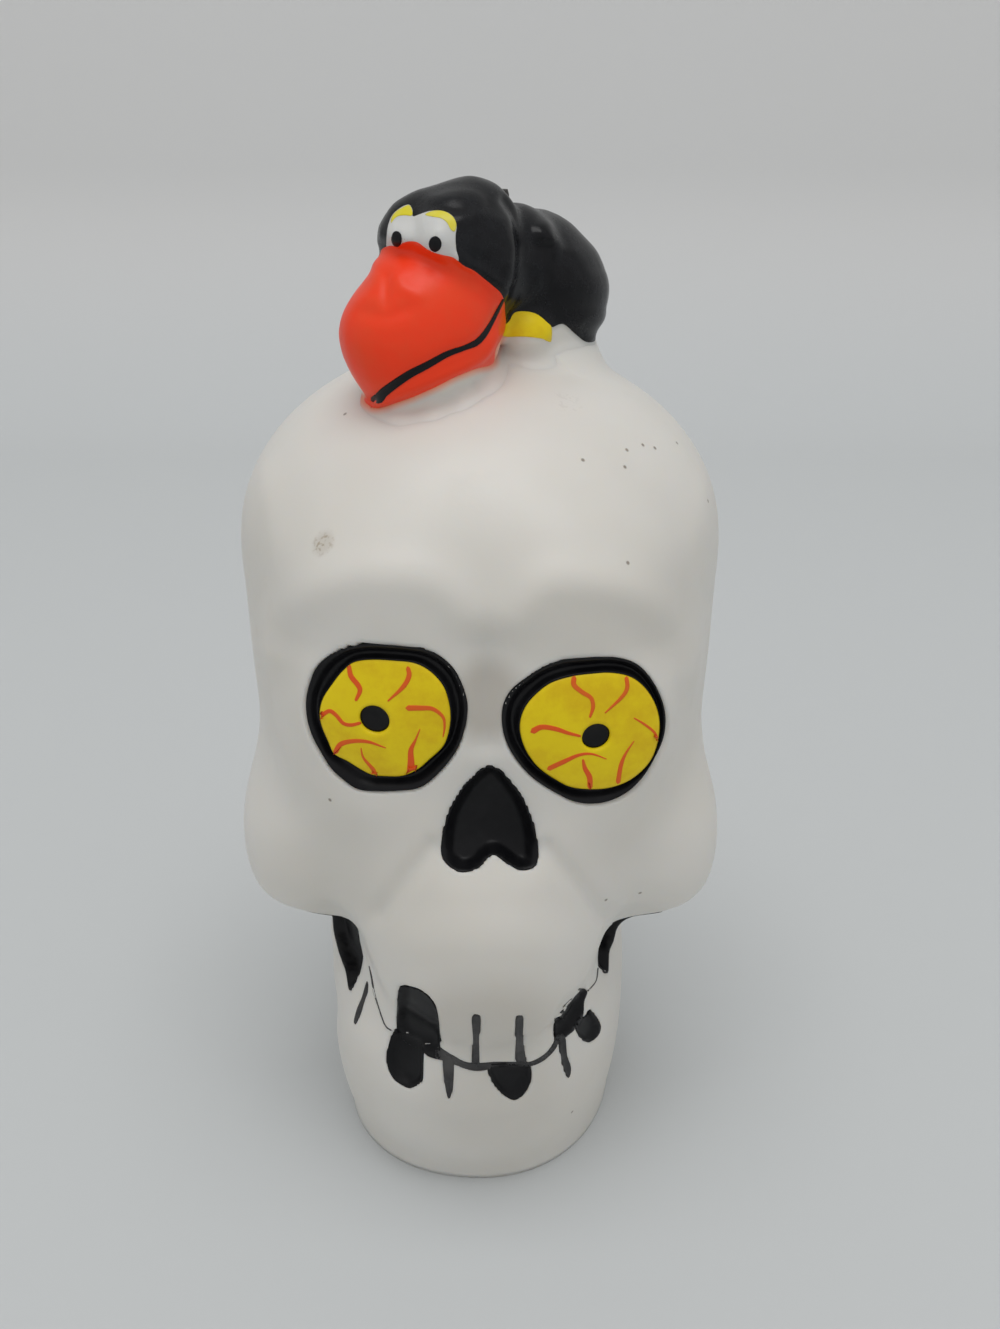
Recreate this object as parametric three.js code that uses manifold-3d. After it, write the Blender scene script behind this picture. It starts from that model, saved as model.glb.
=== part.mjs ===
// Skull candle: a white wax skull with bulging eyes and a crow lying across the top of its dome.
// Millimetres, +Z up. The origin is the centre of the flat base, and the face looks along -Y.
import * as THREE from "three";
import { mergeVertices } from "three/addons/utils/BufferGeometryUtils.js";
import Module from "manifold-3d";

const wasm = await Module();
wasm.setup();
const degrees = THREE.MathUtils.degToRad;

// Clearances that all the pieces share.
const gap = 0.3; // left between two pieces that touch
const overrun = 3; // how far a cutting shape runs past the surface that it cuts
const weld = 0.0001; // points nearer than this are one point
const leastShare = 0.001; // keeps the middle of a round shape from dividing by zero

// The cranium is an ellipsoid above its widest height, and a loft below it.
const cranium = {
  widest: 117, domeHeight: 30, middleY: 4,
  halfWidth: 41, frontReach: 40, backReach: 43,
  bottom: 51, bottomRound: 4,
};
const domeTop = cranium.widest + cranium.domeHeight;
// Height, half-width, front and back of the loft, as shares of the widest height and of the reaches there.
const craniumLoftShares = [
  [0.34, 0.8, 0.5, 0.5],
  [0.5, 0.9, 0.62, 0.66],
  [0.65, 0.955, 0.86, 0.84],
  [0.82, 0.985, 0.97, 0.96],
  [1, 1, 1, 1],
];

// The flat front of the face, which carries the eyes and the nose. It hangs from the widest height.
const face = {
  halfWidth: 35, drop: 25, halfHeight: 42, frontReach: 38.5, backReach: 20,
  power: 3.4, blend: 7,
};

const faceMiddle = cranium.widest - face.drop;

// The brow: a soft arch over each eye, its middle a little above the widest height.
const brow = { x: 13, y: -24, rise: 3, halfWidth: 15, depth: 11.6, halfHeight: 9.5, blend: 8 };

// The cheekbones, whose flat undersides overhang the jaw.
const cheek = {
  x: 29, y: -12, z: 64, halfWidth: 13.2, depth: 14.5, halfHeight: 14.5, power: 2.3, blend: 13,
  drop: 1, // the cheekbone at +X sits this much lower
};

// The upper jaw: a rounded muzzle under the nose.
const muzzle = {
  x: 0.5, y: -20, z: 58, halfWidth: 21, depth: 24.5, halfHeight: 27, power: 2.5, blend: 9,
};

// The hollow between cheekbone, muzzle and jaw, on each side.
const hollow = { x: 25.8, y: -28, z: 49, halfWidth: 4.6, depth: 11, halfHeight: 10.5, blend: 2.5 };

// The lower jaw, a loft from the base up into the cranium, turned a little towards -X.
const jaw = {
  height: 62, halfWidth: 27.8, frontReach: 41.5, backReach: 27, middleY: -3,
  bevel: 1.4, blend: 2.2, power: 2.2, turn: degrees(8),
};
// Height, half-width, front and back, as shares of the jaw's height and reaches.
const jawLoftShares = [
  [0, 0.9, 0.76, 0.96],
  [0.1, 0.955, 0.84, 0.97],
  [0.25, 0.995, 0.925, 0.98],
  [0.45, 1, 0.98, 0.98],
  [0.58, 0.985, 0.95, 1],
  [0.72, 0.94, 0.76, 1.04],
  [1, 0.9, 0.7, 1.1],
];

// The rays that the wax surfaces are taken on.
const rays = { reach: 80, step: 1, halvings: 14 };
const skullGrid = {
  frontColumns: 36, backColumns: 16, frontAngle: degrees(80),
  jawRows: 16, faceRows: 17, domeRows: 10,
};

// The eyes: a yellow dome in a black moat, with a black pupil sunk in it.
const eye = {
  ballRadius: 10.2, ringRadius: 12.9, rimRadius: 14.2,
  pocketDepth: 5, ballRound: 1.2, bulge: 1.5, moat: 1.1,
  pupilRadius: 2.4, pupilDepth: 1.9, pupilSink: 0.5, pupilHollow: 0.35,
  hollowShare: 0.75, // how deep the moat and the pupil are half-way up their sides
  seatBlend: 3.5, seatDepth: 8,
  segments: 28, shoulderSteps: 2, domeSteps: 4,
};
const eyeSeat = { inset: 1.7, dropLeft: 15.8, dropRight: 17.7 };
const eyeSeatY = eyeSeat.inset - face.frontReach;
const eyePlaces = {
  left: {
    x: -14.4, y: eyeSeatY, z: cranium.widest - eyeSeat.dropLeft,
    pupilX: -0.9, pupilZ: 1.5, turn: degrees(11),
  },
  right: {
    x: 16.9, y: eyeSeatY, z: cranium.widest - eyeSeat.dropRight,
    pupilX: 0.9, pupilZ: 0.4, turn: degrees(-11),
  },
};
const eyeTilt = degrees(2); // the eyes look up a little

// The black layers fill shallow recesses of the wax. Each stands at a height, across the way that it
// faces, and a turn of 0 faces -Y.
const thinLayer = { thickness: 0.9, sink: 0.2 };
const deepLayer = { thickness: 0.9, sink: 0.9 };
const noseLayer = { thickness: 1, sink: 1.5 };
const noseDrop = 32; // its middle, below the widest height
const noseShares = [
  [-0.04, 0.5], [-0.2, 0.38], [-0.32, 0.2], [-0.43, 0], [-0.5, -0.28], [-0.46, -0.42], [-0.33, -0.5],
  [-0.15, -0.48], [-0.03, -0.37], [0.04, -0.36], [0.16, -0.42], [0.35, -0.5], [0.48, -0.43],
  [0.5, -0.28], [0.44, -0.08], [0.33, 0.17], [0.18, 0.38], [0.07, 0.48],
];
const gapUpperLeftShares = [
  [-0.24, 0.43], [0.03, 0.5], [0.28, 0.49], [0.46, 0.37], [0.5, 0.16], [0.4, -0.28], [0.36, -0.5],
  [0, -0.45], [-0.5, -0.38], [-0.42, 0.04],
];
const gapUpperRightShares = [
  [0.15, 0.4], [-0.11, 0.49], [-0.36, 0.5], [-0.5, 0.34], [-0.38, -0.19], [-0.3, -0.42], [0.03, -0.5],
  [0.33, -0.41], [0.37, -0.2], [0.3, 0.1],
];
const mouthShares = [
  [-0.5, 0.5], [-0.37, 0.32], [-0.26, 0.06], [-0.14, 0], [-0.02, 0.06], [0.12, -0.04], [0.26, -0.2],
  [0.37, -0.14], [0.42, 0.02], [0.45, 0.32], [0.5, 0.28], [0.48, -0.16], [0.4, -0.44], [0.26, -0.5],
  [0.12, -0.34], [-0.02, -0.22], [-0.14, -0.3], [-0.26, -0.24], [-0.37, 0.02], [-0.5, 0.16],
];
const gapLowerLeftShares = [
  [-0.4, 0.5], [-0.5, 0.16], [-0.48, -0.12], [-0.31, -0.41], [0.19, -0.5], [0.5, -0.22], [0.5, 0.2],
  [0.43, 0.48],
];
const gapLowerRightShares = [
  [0.12, 0.44], [0.5, -0.24], [0.41, -0.5], [0.05, -0.43], [-0.28, -0.08], [-0.5, 0.37], [-0.45, 0.5],
  [-0.13, 0.37],
];
const gapLowerMiddleShares = [
  [-0.5, 0.46], [-0.22, 0.5], [0.14, 0.44], [0.47, 0.32], [0.5, -0.05], [0.36, -0.4], [0.12, -0.5],
  [-0.1, -0.29], [-0.38, 0.1],
];
const slitShares = [
  [-0.42, 0.5], [0.42, 0.5], [0.42, 0], [0.5, -0.2], [0.3, -0.5], [-0.3, -0.5], [-0.5, -0.2],
  [-0.42, 0],
];
const slopingSlitShares = [
  [-0.5, 0.5], [0, 0.5], [0.12, 0.06], [0.5, -0.33], [0.36, -0.5], [-0.3, -0.05],
];
const shadowLeftShares = [
  [-0.5, 0.42], [0.15, 0.5], [0.4, 0.4], [0.33, 0.16], [0.5, -0.07], [0.42, -0.5], [0.14, -0.38],
  [-0.5, -0.24],
];
const shadowRightShares = [
  [0.5, 0.4], [-0.14, 0.5], [-0.5, 0.37], [-0.45, -0.08], [-0.42, -0.29], [-0.16, -0.5], [0.04, -0.32],
  [0.38, -0.24],
];
const crackShares = [
  [0.05, 0.5], [0.45, 0.36], [0.5, 0], [0.1, -0.42], [-0.4, -0.5], [-0.36, -0.2], [-0.1, 0.1],
];
// Each layer is cut clear of the ones above it in this list.
const layers = {
  nose_cavity: {
    across: 1.8, z: cranium.widest - noseDrop, width: 15.9, height: 18.8, turn: 0,
    shares: noseShares, size: noseLayer,
  },
  gap_upper_left: {
    across: 3.4, z: 44.2, width: 10.2, height: 18.3, turn: degrees(20),
    shares: gapUpperLeftShares, size: deepLayer,
  },
  gap_upper_right: {
    across: 0.3, z: 41.9, width: 11.4, height: 15.2, turn: degrees(-25),
    shares: gapUpperRightShares, size: deepLayer,
  },
  mouth_line: {
    across: 3, z: 34.8, width: 21.5, height: 5, turn: 0,
    shares: mouthShares, size: thinLayer,
  },
  gap_lower_left: {
    across: 0.3, z: 32.5, width: 7.4, height: 9.8, turn: degrees(20),
    shares: gapLowerLeftShares, size: deepLayer,
  },
  gap_lower_right: {
    across: 2.7, z: 32.2, width: 7.9, height: 7.9, turn: degrees(-30),
    shares: gapLowerRightShares, size: deepLayer,
  },
  gap_lower_middle: {
    across: 5, z: 29.9, width: 7.7, height: 8.6, turn: 0,
    shares: gapLowerMiddleShares, size: deepLayer,
  },
  slit_upper_left: {
    across: -0.7, z: 41.7, width: 2, height: 14.2, turn: 0,
    shares: slitShares, size: thinLayer,
  },
  slit_upper_right: {
    across: 6.9, z: 40.6, width: 2, height: 14.4, turn: 0,
    shares: slitShares, size: thinLayer,
  },
  slit_lower_left: {
    across: 0, z: 31, width: 2, height: 8.8, turn: degrees(8),
    shares: slitShares, size: thinLayer,
  },
  slit_lower_right: {
    across: 1.4, z: 30.2, width: 3.2, height: 10.4, turn: degrees(-22),
    shares: slopingSlitShares, size: thinLayer,
  },
  jaw_shadow_left: {
    across: -2.5, z: 44.8, width: 13, height: 14.8, turn: degrees(50),
    shares: shadowLeftShares, size: thinLayer,
  },
  jaw_shadow_right: {
    across: 2, z: 45.6, width: 11, height: 16, turn: degrees(-50),
    shares: shadowRightShares, size: thinLayer,
  },
  jaw_crack_left: {
    across: -1.1, z: 37.8, width: 2.6, height: 7.2, turn: degrees(35),
    shares: crackShares, size: thinLayer,
  },
};

// The wick and what holds its lower end.
const wick = { x: 4, y: 6, radius: 1.3, aboveDome: 25.5, foot: 3.1, sides: 12, tip: 1.2, tipRadius: 0.9 };
const wickTop = domeTop + wick.aboveDome;
const sustainer = { radius: 9, thickness: 0.8, neckRadius: 2.6, neckHeight: 8, bottom: 3, segments: 20 };

// The crow. Its own frame looks forward along +X, with +Z up, from where the wick leaves the dome.
const bird = { turn: degrees(48), columns: 22, rows: 12 };
const birdBody = {
  x: -9, y: 0, z: 9.2, halfWidth: 13.6, depth: 9.6, halfHeight: 12.3, droop: degrees(-24),
};
const birdBump = { x: -3, y: 6.6, z: 19, halfWidth: 2.4, depth: 2, halfHeight: 2.2, blend: 2 };
const birdHead = { x: 9.8, y: 0, z: 15, halfWidth: 12.8, depth: 9.8, halfHeight: 11.2 };
const birdCrest = { x: 7, y: 0, z: 21.3, halfWidth: 7.5, depth: 6.6, halfHeight: 7, blend: 3 };
const birdBrow = { x: 13.8, y: 4.2, z: 21, halfWidth: 6, depth: 4.8, halfHeight: 5.2, blend: 3 };
const beak = {
  x: 16.2, y: 0, z: 6.4, halfWidth: 14, depth: 10.8, halfHeight: 12, droop: degrees(40),
  baseX: 19.5, baseZ: 19.3, baseSlope: degrees(41), // the plane where the beak meets the head
  cornerX: 8, cornerZ: 10.5, mouthSlope: degrees(37.5), // the plane of the mouth
  mouthBack: 0.5, mouthFront: 1.8, mouthProud: 0.15,
};
const perch = { x: -7, y: 0, z: 0, halfWidth: 13.5, depth: 9.8, halfHeight: 5 };
const foot = { x: -0.5, y: 5, z: 4.4, halfWidth: 4.8, depth: 4.4, halfHeight: 3.8 };
// The crow's face: layers in the front of its head, placed across its middle and up from the dome.
const faceLayer = { thickness: 0.8, sink: 0 };
const faceStart = 12; // the layers lie further forward than this
const birdFace = { across: 0.5, up: 21.4, width: 15.4, height: 7.4 };
const birdFaceShares = [
  [-0.5, -0.5], [-0.38, -0.05], [-0.29, 0.2], [-0.22, 0.4], [-0.03, 0.28], [0.06, 0.4], [0.18, 0.5],
  [0.33, 0.48], [0.45, 0.28], [0.5, -0.02], [0.46, -0.5], [0, -0.5],
];
const birdPupils = {
  left: { across: 5.9, up: 20.9, width: 2.3, height: 2.7 },
  right: { across: -2.6, up: 20.2, width: 2.3, height: 2.7 },
};
const birdPupilShares = [
  [0, 0.5], [-0.36, 0.34], [-0.5, 0], [-0.36, -0.34], [0, -0.5], [0.36, -0.34], [0.5, 0], [0.36, 0.34],
];
const birdLids = {
  left: { across: 5.4, up: 23.9, width: 5.4, height: 2.9, side: 1 },
  right: { across: -2.7, up: 23.4, width: 4, height: 2.9, side: -1 },
};
const birdLidShares = [
  [-0.5, 0.36], [-0.2, 0.5], [0.15, 0.42], [0.42, 0.05], [0.5, -0.38], [0.34, -0.5], [0.1, -0.2],
  [-0.2, -0.04], [-0.46, 0.02],
];

// Colours of the wax and the metal.
const colours = {
  white: 0xe6e1d8, yellow: 0xe8d81f, black: 0x1b1c1f, orange: 0xf0482a, cotton: 0x4a4238, tin: 0xb8bcc0,
};
const finishes = {};
for (const [name, colour] of Object.entries(colours)) {
  const roughness = name === "cotton" ? 0.9 : 0.45;
  const metalness = name === "tin" ? 1 : 0;
  finishes[name] = { color: colour, roughness, metalness };
}

// Fields: each gives roughly the distance from a point to a surface, negative inside.
function smoothUnion(a, b, blend) {
  const near = Math.max(blend - Math.abs(a - b), 0) / blend;
  return Math.min(a, b) - (near * near * blend) / 4;
}

function smoothCut(body, tool, blend) {
  return -smoothUnion(-body, tool, blend);
}

function blob(x, y, z, size, power = 2) {
  const sum = Math.abs(x / size.halfWidth) ** power + Math.abs(y / size.depth) ** power
    + Math.abs(z / size.halfHeight) ** power;
  const share = sum ** (1 / power);
  return Math.hypot(x, y, z) * (1 - 1 / Math.max(share, leastShare));
}

// A smooth curve through a table's rows, read by the first value of each row.
function readTable(table, height) {
  const last = table.length - 1;
  const at = THREE.MathUtils.clamp(height, table[0][0], table[last][0]);
  let row = 0;
  while (row < last - 1 && at > table[row + 1][0]) row += 1;
  const slope = (i, k) => {
    const lower = table[Math.max(i - 1, 0)];
    const upper = table[Math.min(i + 1, last)];
    return (upper[k] - lower[k]) / (upper[0] - lower[0]);
  };
  const span = table[row + 1][0] - table[row][0];
  const t = (at - table[row][0]) / span;
  return table[row].slice(1).map((start, index) => {
    const k = index + 1;
    const end = table[row + 1][k];
    const rise = t * t * (3 - 2 * t);
    const leave = t * (1 - t) * (1 - t) * span * slope(row, k);
    const arrive = t * t * (1 - t) * span * slope(row + 1, k);
    return start + (end - start) * rise + leave - arrive;
  });
}

function loftField(x, y, halfWidth, frontReach, backReach, power) {
  const reach = y < 0 ? frontReach : backReach;
  const share = (Math.abs(x / halfWidth) ** power + Math.abs(y / reach) ** power) ** (1 / power);
  return Math.hypot(x, y) * (1 - 1 / Math.max(share, leastShare));
}

function craniumField(x, y, z) {
  const across = y - cranium.middleY;
  if (z > cranium.widest) {
    const size = {
      halfWidth: cranium.halfWidth,
      depth: across < 0 ? cranium.frontReach : cranium.backReach,
      halfHeight: cranium.domeHeight,
    };
    return blob(x, across, z - cranium.widest, size);
  }
  const [width, front, back] = readTable(craniumLoftShares, z / cranium.widest);
  const side = loftField(x, across, width * cranium.halfWidth, front * cranium.frontReach,
    back * cranium.backReach, 2);
  return smoothCut(side, z - cranium.bottom, cranium.bottomRound);
}

function faceField(x, y, z) {
  const reach = y < 0 ? face.frontReach : face.backReach;
  const sum = Math.abs(x / face.halfWidth) ** face.power + Math.abs(y / reach) ** face.power;
  const plan = sum ** (1 / face.power);
  const share = Math.hypot(plan, (z - faceMiddle) / face.halfHeight);
  return Math.hypot(x, y, z - faceMiddle) * (1 - 1 / Math.max(share, leastShare));
}

function jawField(x, y, z) {
  const turnedX = x * Math.cos(jaw.turn) + y * Math.sin(-jaw.turn);
  const turnedY = y * Math.cos(jaw.turn) - x * Math.sin(-jaw.turn) - jaw.middleY;
  const [width, front, back] = readTable(jawLoftShares, z / jaw.height);
  const side = loftField(turnedX, turnedY, width * jaw.halfWidth,
    front * jaw.frontReach + jaw.middleY, back * jaw.backReach - jaw.middleY, jaw.power);
  return Math.max(side, z - jaw.height);
}

// Where an eye sits, the wax is a flat round seat.
function eyeAxis(place) {
  return rayDirection(-place.turn, eyeTilt);
}

function seatFields(x, y, z, place) {
  const axis = eyeAxis(place);
  const dx = x - place.x;
  const dy = y - place.y;
  const dz = z - place.z;
  const height = dx * axis.x + dy * axis.y + dz * axis.z;
  const radius = Math.sqrt(Math.max(dx * dx + dy * dy + dz * dz - height * height, 0));
  const seat = Math.max(radius - eye.rimRadius, height, -height - eye.seatDepth);
  const clear = Math.max(radius - eye.rimRadius, -height);
  return [seat, clear];
}

function skullField(x, y, z) {
  let wax = smoothUnion(craniumField(x, y, z), faceField(x, y, z), face.blend);
  for (const side of [-1, 1]) {
    const arch = blob(x - side * brow.x, y - brow.y, z - cranium.widest - brow.rise, brow);
    wax = smoothUnion(wax, arch, brow.blend);
    const drop = side > 0 ? cheek.drop : 0;
    const bone = blob(x - side * cheek.x, y - cheek.y, z - cheek.z + drop, cheek, cheek.power);
    wax = smoothUnion(wax, bone, cheek.blend);
  }
  const mouth = blob(x - muzzle.x, y - muzzle.y, z - muzzle.z, muzzle, muzzle.power);
  wax = smoothUnion(wax, mouth, muzzle.blend);
  wax = smoothUnion(wax, jawField(x, y, z), jaw.blend);
  for (const side of [-1, 1]) {
    const drop = side > 0 ? cheek.drop : 0;
    const dent = blob(x - side * hollow.x, y - hollow.y, z - hollow.z + drop, hollow);
    wax = smoothCut(wax, dent, hollow.blend);
  }
  for (const place of Object.values(eyePlaces)) {
    const [seat, clear] = seatFields(x, y, z, place);
    wax = smoothUnion(wax, seat, eye.seatBlend);
    wax = smoothCut(wax, clear, eye.seatBlend);
  }
  return wax;
}

function rayDirection(angle, elevation) {
  const level = Math.cos(elevation);
  return new THREE.Vector3(Math.sin(angle) * level, -Math.cos(angle) * level, Math.sin(elevation));
}

// The outermost point of a field along a ray.
function surfacePoint(field, start, direction, inset) {
  const at = (distance) => {
    const point = start.clone().addScaledVector(direction, distance);
    return field(point.x, point.y, point.z) + inset;
  };
  let outside = rays.reach;
  while (outside > rays.step && at(outside - rays.step) > 0) outside -= rays.step;
  let inside = outside - rays.step;
  for (let i = 0; i < rays.halvings; i += 1) {
    const middle = (inside + outside) / 2;
    if (at(middle) > 0) outside = middle;
    else inside = middle;
  }
  return start.clone().addScaledVector(direction, inside);
}

// Rows of points, a first and a last point, joined into one closed surface.
function closedGrid(first, rows, last) {
  const points = [first, ...rows.flat(), last];
  const columns = rows[0].length;
  const index = [];
  for (let j = 0; j < columns; j += 1) {
    const next = (j + 1) % columns;
    index.push(0, 1 + next, 1 + j);
    for (let i = 0; i < rows.length - 1; i += 1) {
      const low = 1 + i * columns;
      const high = low + columns;
      index.push(low + j, low + next, high + next, low + j, high + next, high + j);
    }
    const top = 1 + (rows.length - 1) * columns;
    index.push(points.length - 1, top + j, top + next);
  }
  const geometry = new THREE.BufferGeometry().setFromPoints(points);
  geometry.setIndex(index);
  return geometry;
}

// Skull columns stand closer together over the face than over the back.
function skullAngles() {
  const angles = [];
  for (let i = 0; i < skullGrid.frontColumns; i += 1) {
    angles.push(-skullGrid.frontAngle + (2 * skullGrid.frontAngle * i) / skullGrid.frontColumns);
  }
  const backAngle = 2 * (Math.PI - skullGrid.frontAngle);
  for (let i = 0; i < skullGrid.backColumns; i += 1) {
    angles.push(skullGrid.frontAngle + (backAngle * i) / skullGrid.backColumns);
  }
  return angles;
}

function skullSurface(inset) {
  const angles = skullAngles();
  const row = (height, elevation, shrink) => angles.map((angle) => {
    const start = new THREE.Vector3(0, height > cranium.bottom ? cranium.middleY : jaw.middleY, height);
    return surfacePoint(skullField, start, rayDirection(angle, elevation), inset + shrink);
  });
  const rows = [];
  const base = row(jaw.bevel, 0, jaw.bevel);
  for (const point of base) point.z = 0;
  rows.push(base);
  for (let i = 0; i <= skullGrid.jawRows; i += 1) {
    rows.push(row(jaw.bevel + ((jaw.height - jaw.bevel) * i) / skullGrid.jawRows, 0, 0));
  }
  for (let i = 1; i <= skullGrid.faceRows; i += 1) {
    rows.push(row(jaw.height + ((cranium.widest - jaw.height) * i) / skullGrid.faceRows, 0, 0));
  }
  for (let i = 1; i < skullGrid.domeRows; i += 1) {
    rows.push(row(cranium.widest, (Math.PI / 2) * (i / skullGrid.domeRows), 0));
  }
  const foot = new THREE.Vector3(0, 0, 0);
  const start = new THREE.Vector3(0, cranium.middleY, cranium.widest);
  const crown = surfacePoint(skullField, start, new THREE.Vector3(0, 0, 1), inset);
  return closedGrid(foot, rows, crown);
}

// Joining and cutting.
function solidOf(geometry) {
  const bare = geometry.clone();
  bare.deleteAttribute("normal");
  bare.deleteAttribute("uv");
  const merged = mergeVertices(bare, weld);
  return new wasm.Manifold(new wasm.Mesh({
    numProp: 3,
    vertProperties: new Float32Array(merged.attributes.position.array),
    triVerts: new Uint32Array(merged.index.array),
  }));
}

function geometryOf(solid) {
  const mesh = solid.getMesh();
  const geometry = new THREE.BufferGeometry();
  geometry.setAttribute("position", new THREE.BufferAttribute(new Float32Array(mesh.vertProperties), 3));
  geometry.setIndex(new THREE.BufferAttribute(new Uint32Array(mesh.triVerts), 1));
  geometry.computeVertexNormals();
  return geometry;
}

const candle = new THREE.Group();

function addPiece(name, geometry, finish) {
  geometry.computeVertexNormals();
  const mesh = new THREE.Mesh(geometry, new THREE.MeshStandardMaterial(finish));
  mesh.name = name;
  candle.add(mesh);
  return mesh;
}

// An outline of shares, grown or shrunk by the same amount all round.
function outlineShape(shares, width, height, grow) {
  const points = shares.map(([across, up]) => new THREE.Vector2(across * width, up * height));
  const count = points.length;
  const side = THREE.ShapeUtils.isClockWise(points) ? -1 : 1;
  const outward = (from, to) => {
    const along = to.clone().sub(from).normalize();
    return new THREE.Vector2(along.y * side, -along.x * side);
  };
  return new THREE.Shape(points.map((point, i) => {
    const before = outward(points[(i + count - 1) % count], point);
    const after = outward(point, points[(i + 1) % count]);
    const move = grow / (1 + before.dot(after));
    return point.clone().addScaledVector(before, move).addScaledVector(after, move);
  }));
}

// The outline stands upright and is drawn out the way that it faces. A turn of 0 faces -Y.
function outlinePrism(place, shares, grow) {
  const shape = outlineShape(shares, place.width, place.height, grow);
  const prism = new THREE.ExtrudeGeometry(shape, { depth: rays.reach, bevelEnabled: false });
  prism.translate(0, 0, place.start ?? 0);
  prism.rotateX(Math.PI / 2);
  prism.translate(place.across, 0, place.z);
  prism.rotateZ(-place.turn);
  return solidOf(prism);
}

// A layer lies in the wax, and follows the surface that its skin function gives at any depth.
function layerSolid(place, shares, size, skin) {
  const prism = outlinePrism(place, shares, -gap);
  return prism.intersect(skin(size.sink)).subtract(skin(size.sink + size.thickness));
}

function layerSeat(place, shares, size, skin) {
  return outlinePrism(place, shares, 0).subtract(skin(size.sink + size.thickness + gap));
}

function remembered(make) {
  const made = new Map();
  return (inset) => {
    if (!made.has(inset)) made.set(inset, solidOf(make(inset)));
    return made.get(inset);
  };
}
const skullSkin = remembered(skullSurface);

// The crow's fields, in its own frame.
function localBlob(x, y, z, size) {
  return blob(x - size.x, y - size.y, z - size.z, size);
}

// An ellipsoid whose long axis dips by its droop, towards +X or, where that is negative, towards -X.
function droopingBlob(x, y, z, size) {
  const forward = x - size.x;
  const up = z - size.z;
  const along = forward * Math.cos(size.droop) - up * Math.sin(size.droop);
  const over = forward * Math.sin(size.droop) + up * Math.cos(size.droop);
  return blob(along, y - size.y, over, size);
}

function bodyField(x, y, z) {
  return smoothUnion(droopingBlob(x, y, z, birdBody), localBlob(x, y, z, birdBump), birdBump.blend);
}

function headField(x, y, z) {
  let head = smoothUnion(localBlob(x, y, z, birdHead), localBlob(x, y, z, birdCrest), birdCrest.blend);
  for (const side of [-1, 1]) {
    const browSize = { ...birdBrow, y: side * birdBrow.y };
    head = smoothUnion(head, localBlob(x, y, z, browSize), birdBrow.blend);
  }
  return head;
}

function beakField(x, y, z) {
  return droopingBlob(x, y, z, beak);
}

// Rays from a centre, all round.
function roundSurface(field, centre, inset) {
  const start = new THREE.Vector3(centre.x, centre.y, centre.z);
  const ray = (angle, elevation) => surfacePoint(field, start, rayDirection(angle, elevation), inset);
  const rows = [];
  for (let i = 1; i < bird.rows; i += 1) {
    const elevation = -Math.PI / 2 + (Math.PI * i) / bird.rows;
    const row = [];
    for (let j = 0; j < bird.columns; j += 1) row.push(ray((2 * Math.PI * j) / bird.columns, elevation));
    rows.push(row);
  }
  return closedGrid(ray(0, -Math.PI / 2), rows, ray(0, Math.PI / 2));
}

const birdPlace = new THREE.Matrix4().makeTranslation(wick.x, wick.y, domeTop)
  .multiply(new THREE.Matrix4().makeRotationZ(-Math.PI / 2 - bird.turn));
function birdSkin(field, centre) {
  return remembered((inset) => roundSurface(field, centre, inset).applyMatrix4(birdPlace));
}
const bodySkin = birdSkin(bodyField, birdBody);
const headSkin = birdSkin(headField, birdHead);
const beakSkin = birdSkin(beakField, beak);
const perchSkin = birdSkin((x, y, z) => localBlob(x, y, z, perch), perch);
const footSkin = birdSkin((x, y, z) => localBlob(x, y, z, foot), foot);

// Everything on one side of a plane across the crow, through a point and rising forwards by a slope.
function birdHalf(x, z, slope, lift) {
  const slab = new THREE.BoxGeometry(2 * rays.reach, 2 * rays.reach, rays.reach);
  slab.translate(0, 0, rays.reach / 2 + lift);
  slab.rotateY(-slope);
  slab.translate(x, 0, z);
  return solidOf(slab.applyMatrix4(birdPlace));
}

const boreRadius = wick.radius + gap;
const boreLength = wickTop + 2 * overrun;
const wickTool = new THREE.CylinderGeometry(boreRadius, boreRadius, boreLength, wick.sides);
wickTool.rotateX(Math.PI / 2).translate(wick.x, wick.y, wickTop / 2);
const wickBore = solidOf(wickTool);

const aboveBase = birdHalf(beak.baseX, beak.baseZ, beak.baseSlope, 0);
const mouthWedge = Math.atan((beak.mouthFront - beak.mouthBack) / (4 * beak.halfWidth));

// The crow's pieces, each cut clear of what it lies on.
const skullOver = skullSkin(-gap);
const perchOver = perchSkin(-gap);
const belowBase = birdHalf(beak.baseX, beak.baseZ, beak.baseSlope + Math.PI, -gap);
const head = headSkin(0).subtract(belowBase).subtract(skullOver).subtract(perchOver).subtract(wickBore);
const body = bodySkin(0).subtract(headSkin(-gap)).subtract(skullOver).subtract(perchOver)
  .subtract(wickBore);
const beakFront = beakSkin(0).subtract(aboveBase).subtract(skullOver).subtract(perchOver)
  .subtract(bodySkin(-gap));
const footSolid = footSkin(0).subtract(bodySkin(-gap)).subtract(headSkin(-gap)).subtract(skullOver)
  .subtract(perchOver).subtract(beakSkin(-gap));

function birdLayerPlace(size) {
  const across = wick.x * Math.cos(bird.turn) - wick.y * Math.sin(bird.turn) + size.across;
  const start = faceStart - wick.x * Math.sin(bird.turn) - wick.y * Math.cos(bird.turn);
  return { ...size, across, start, z: domeTop + size.up, turn: bird.turn };
}

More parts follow.
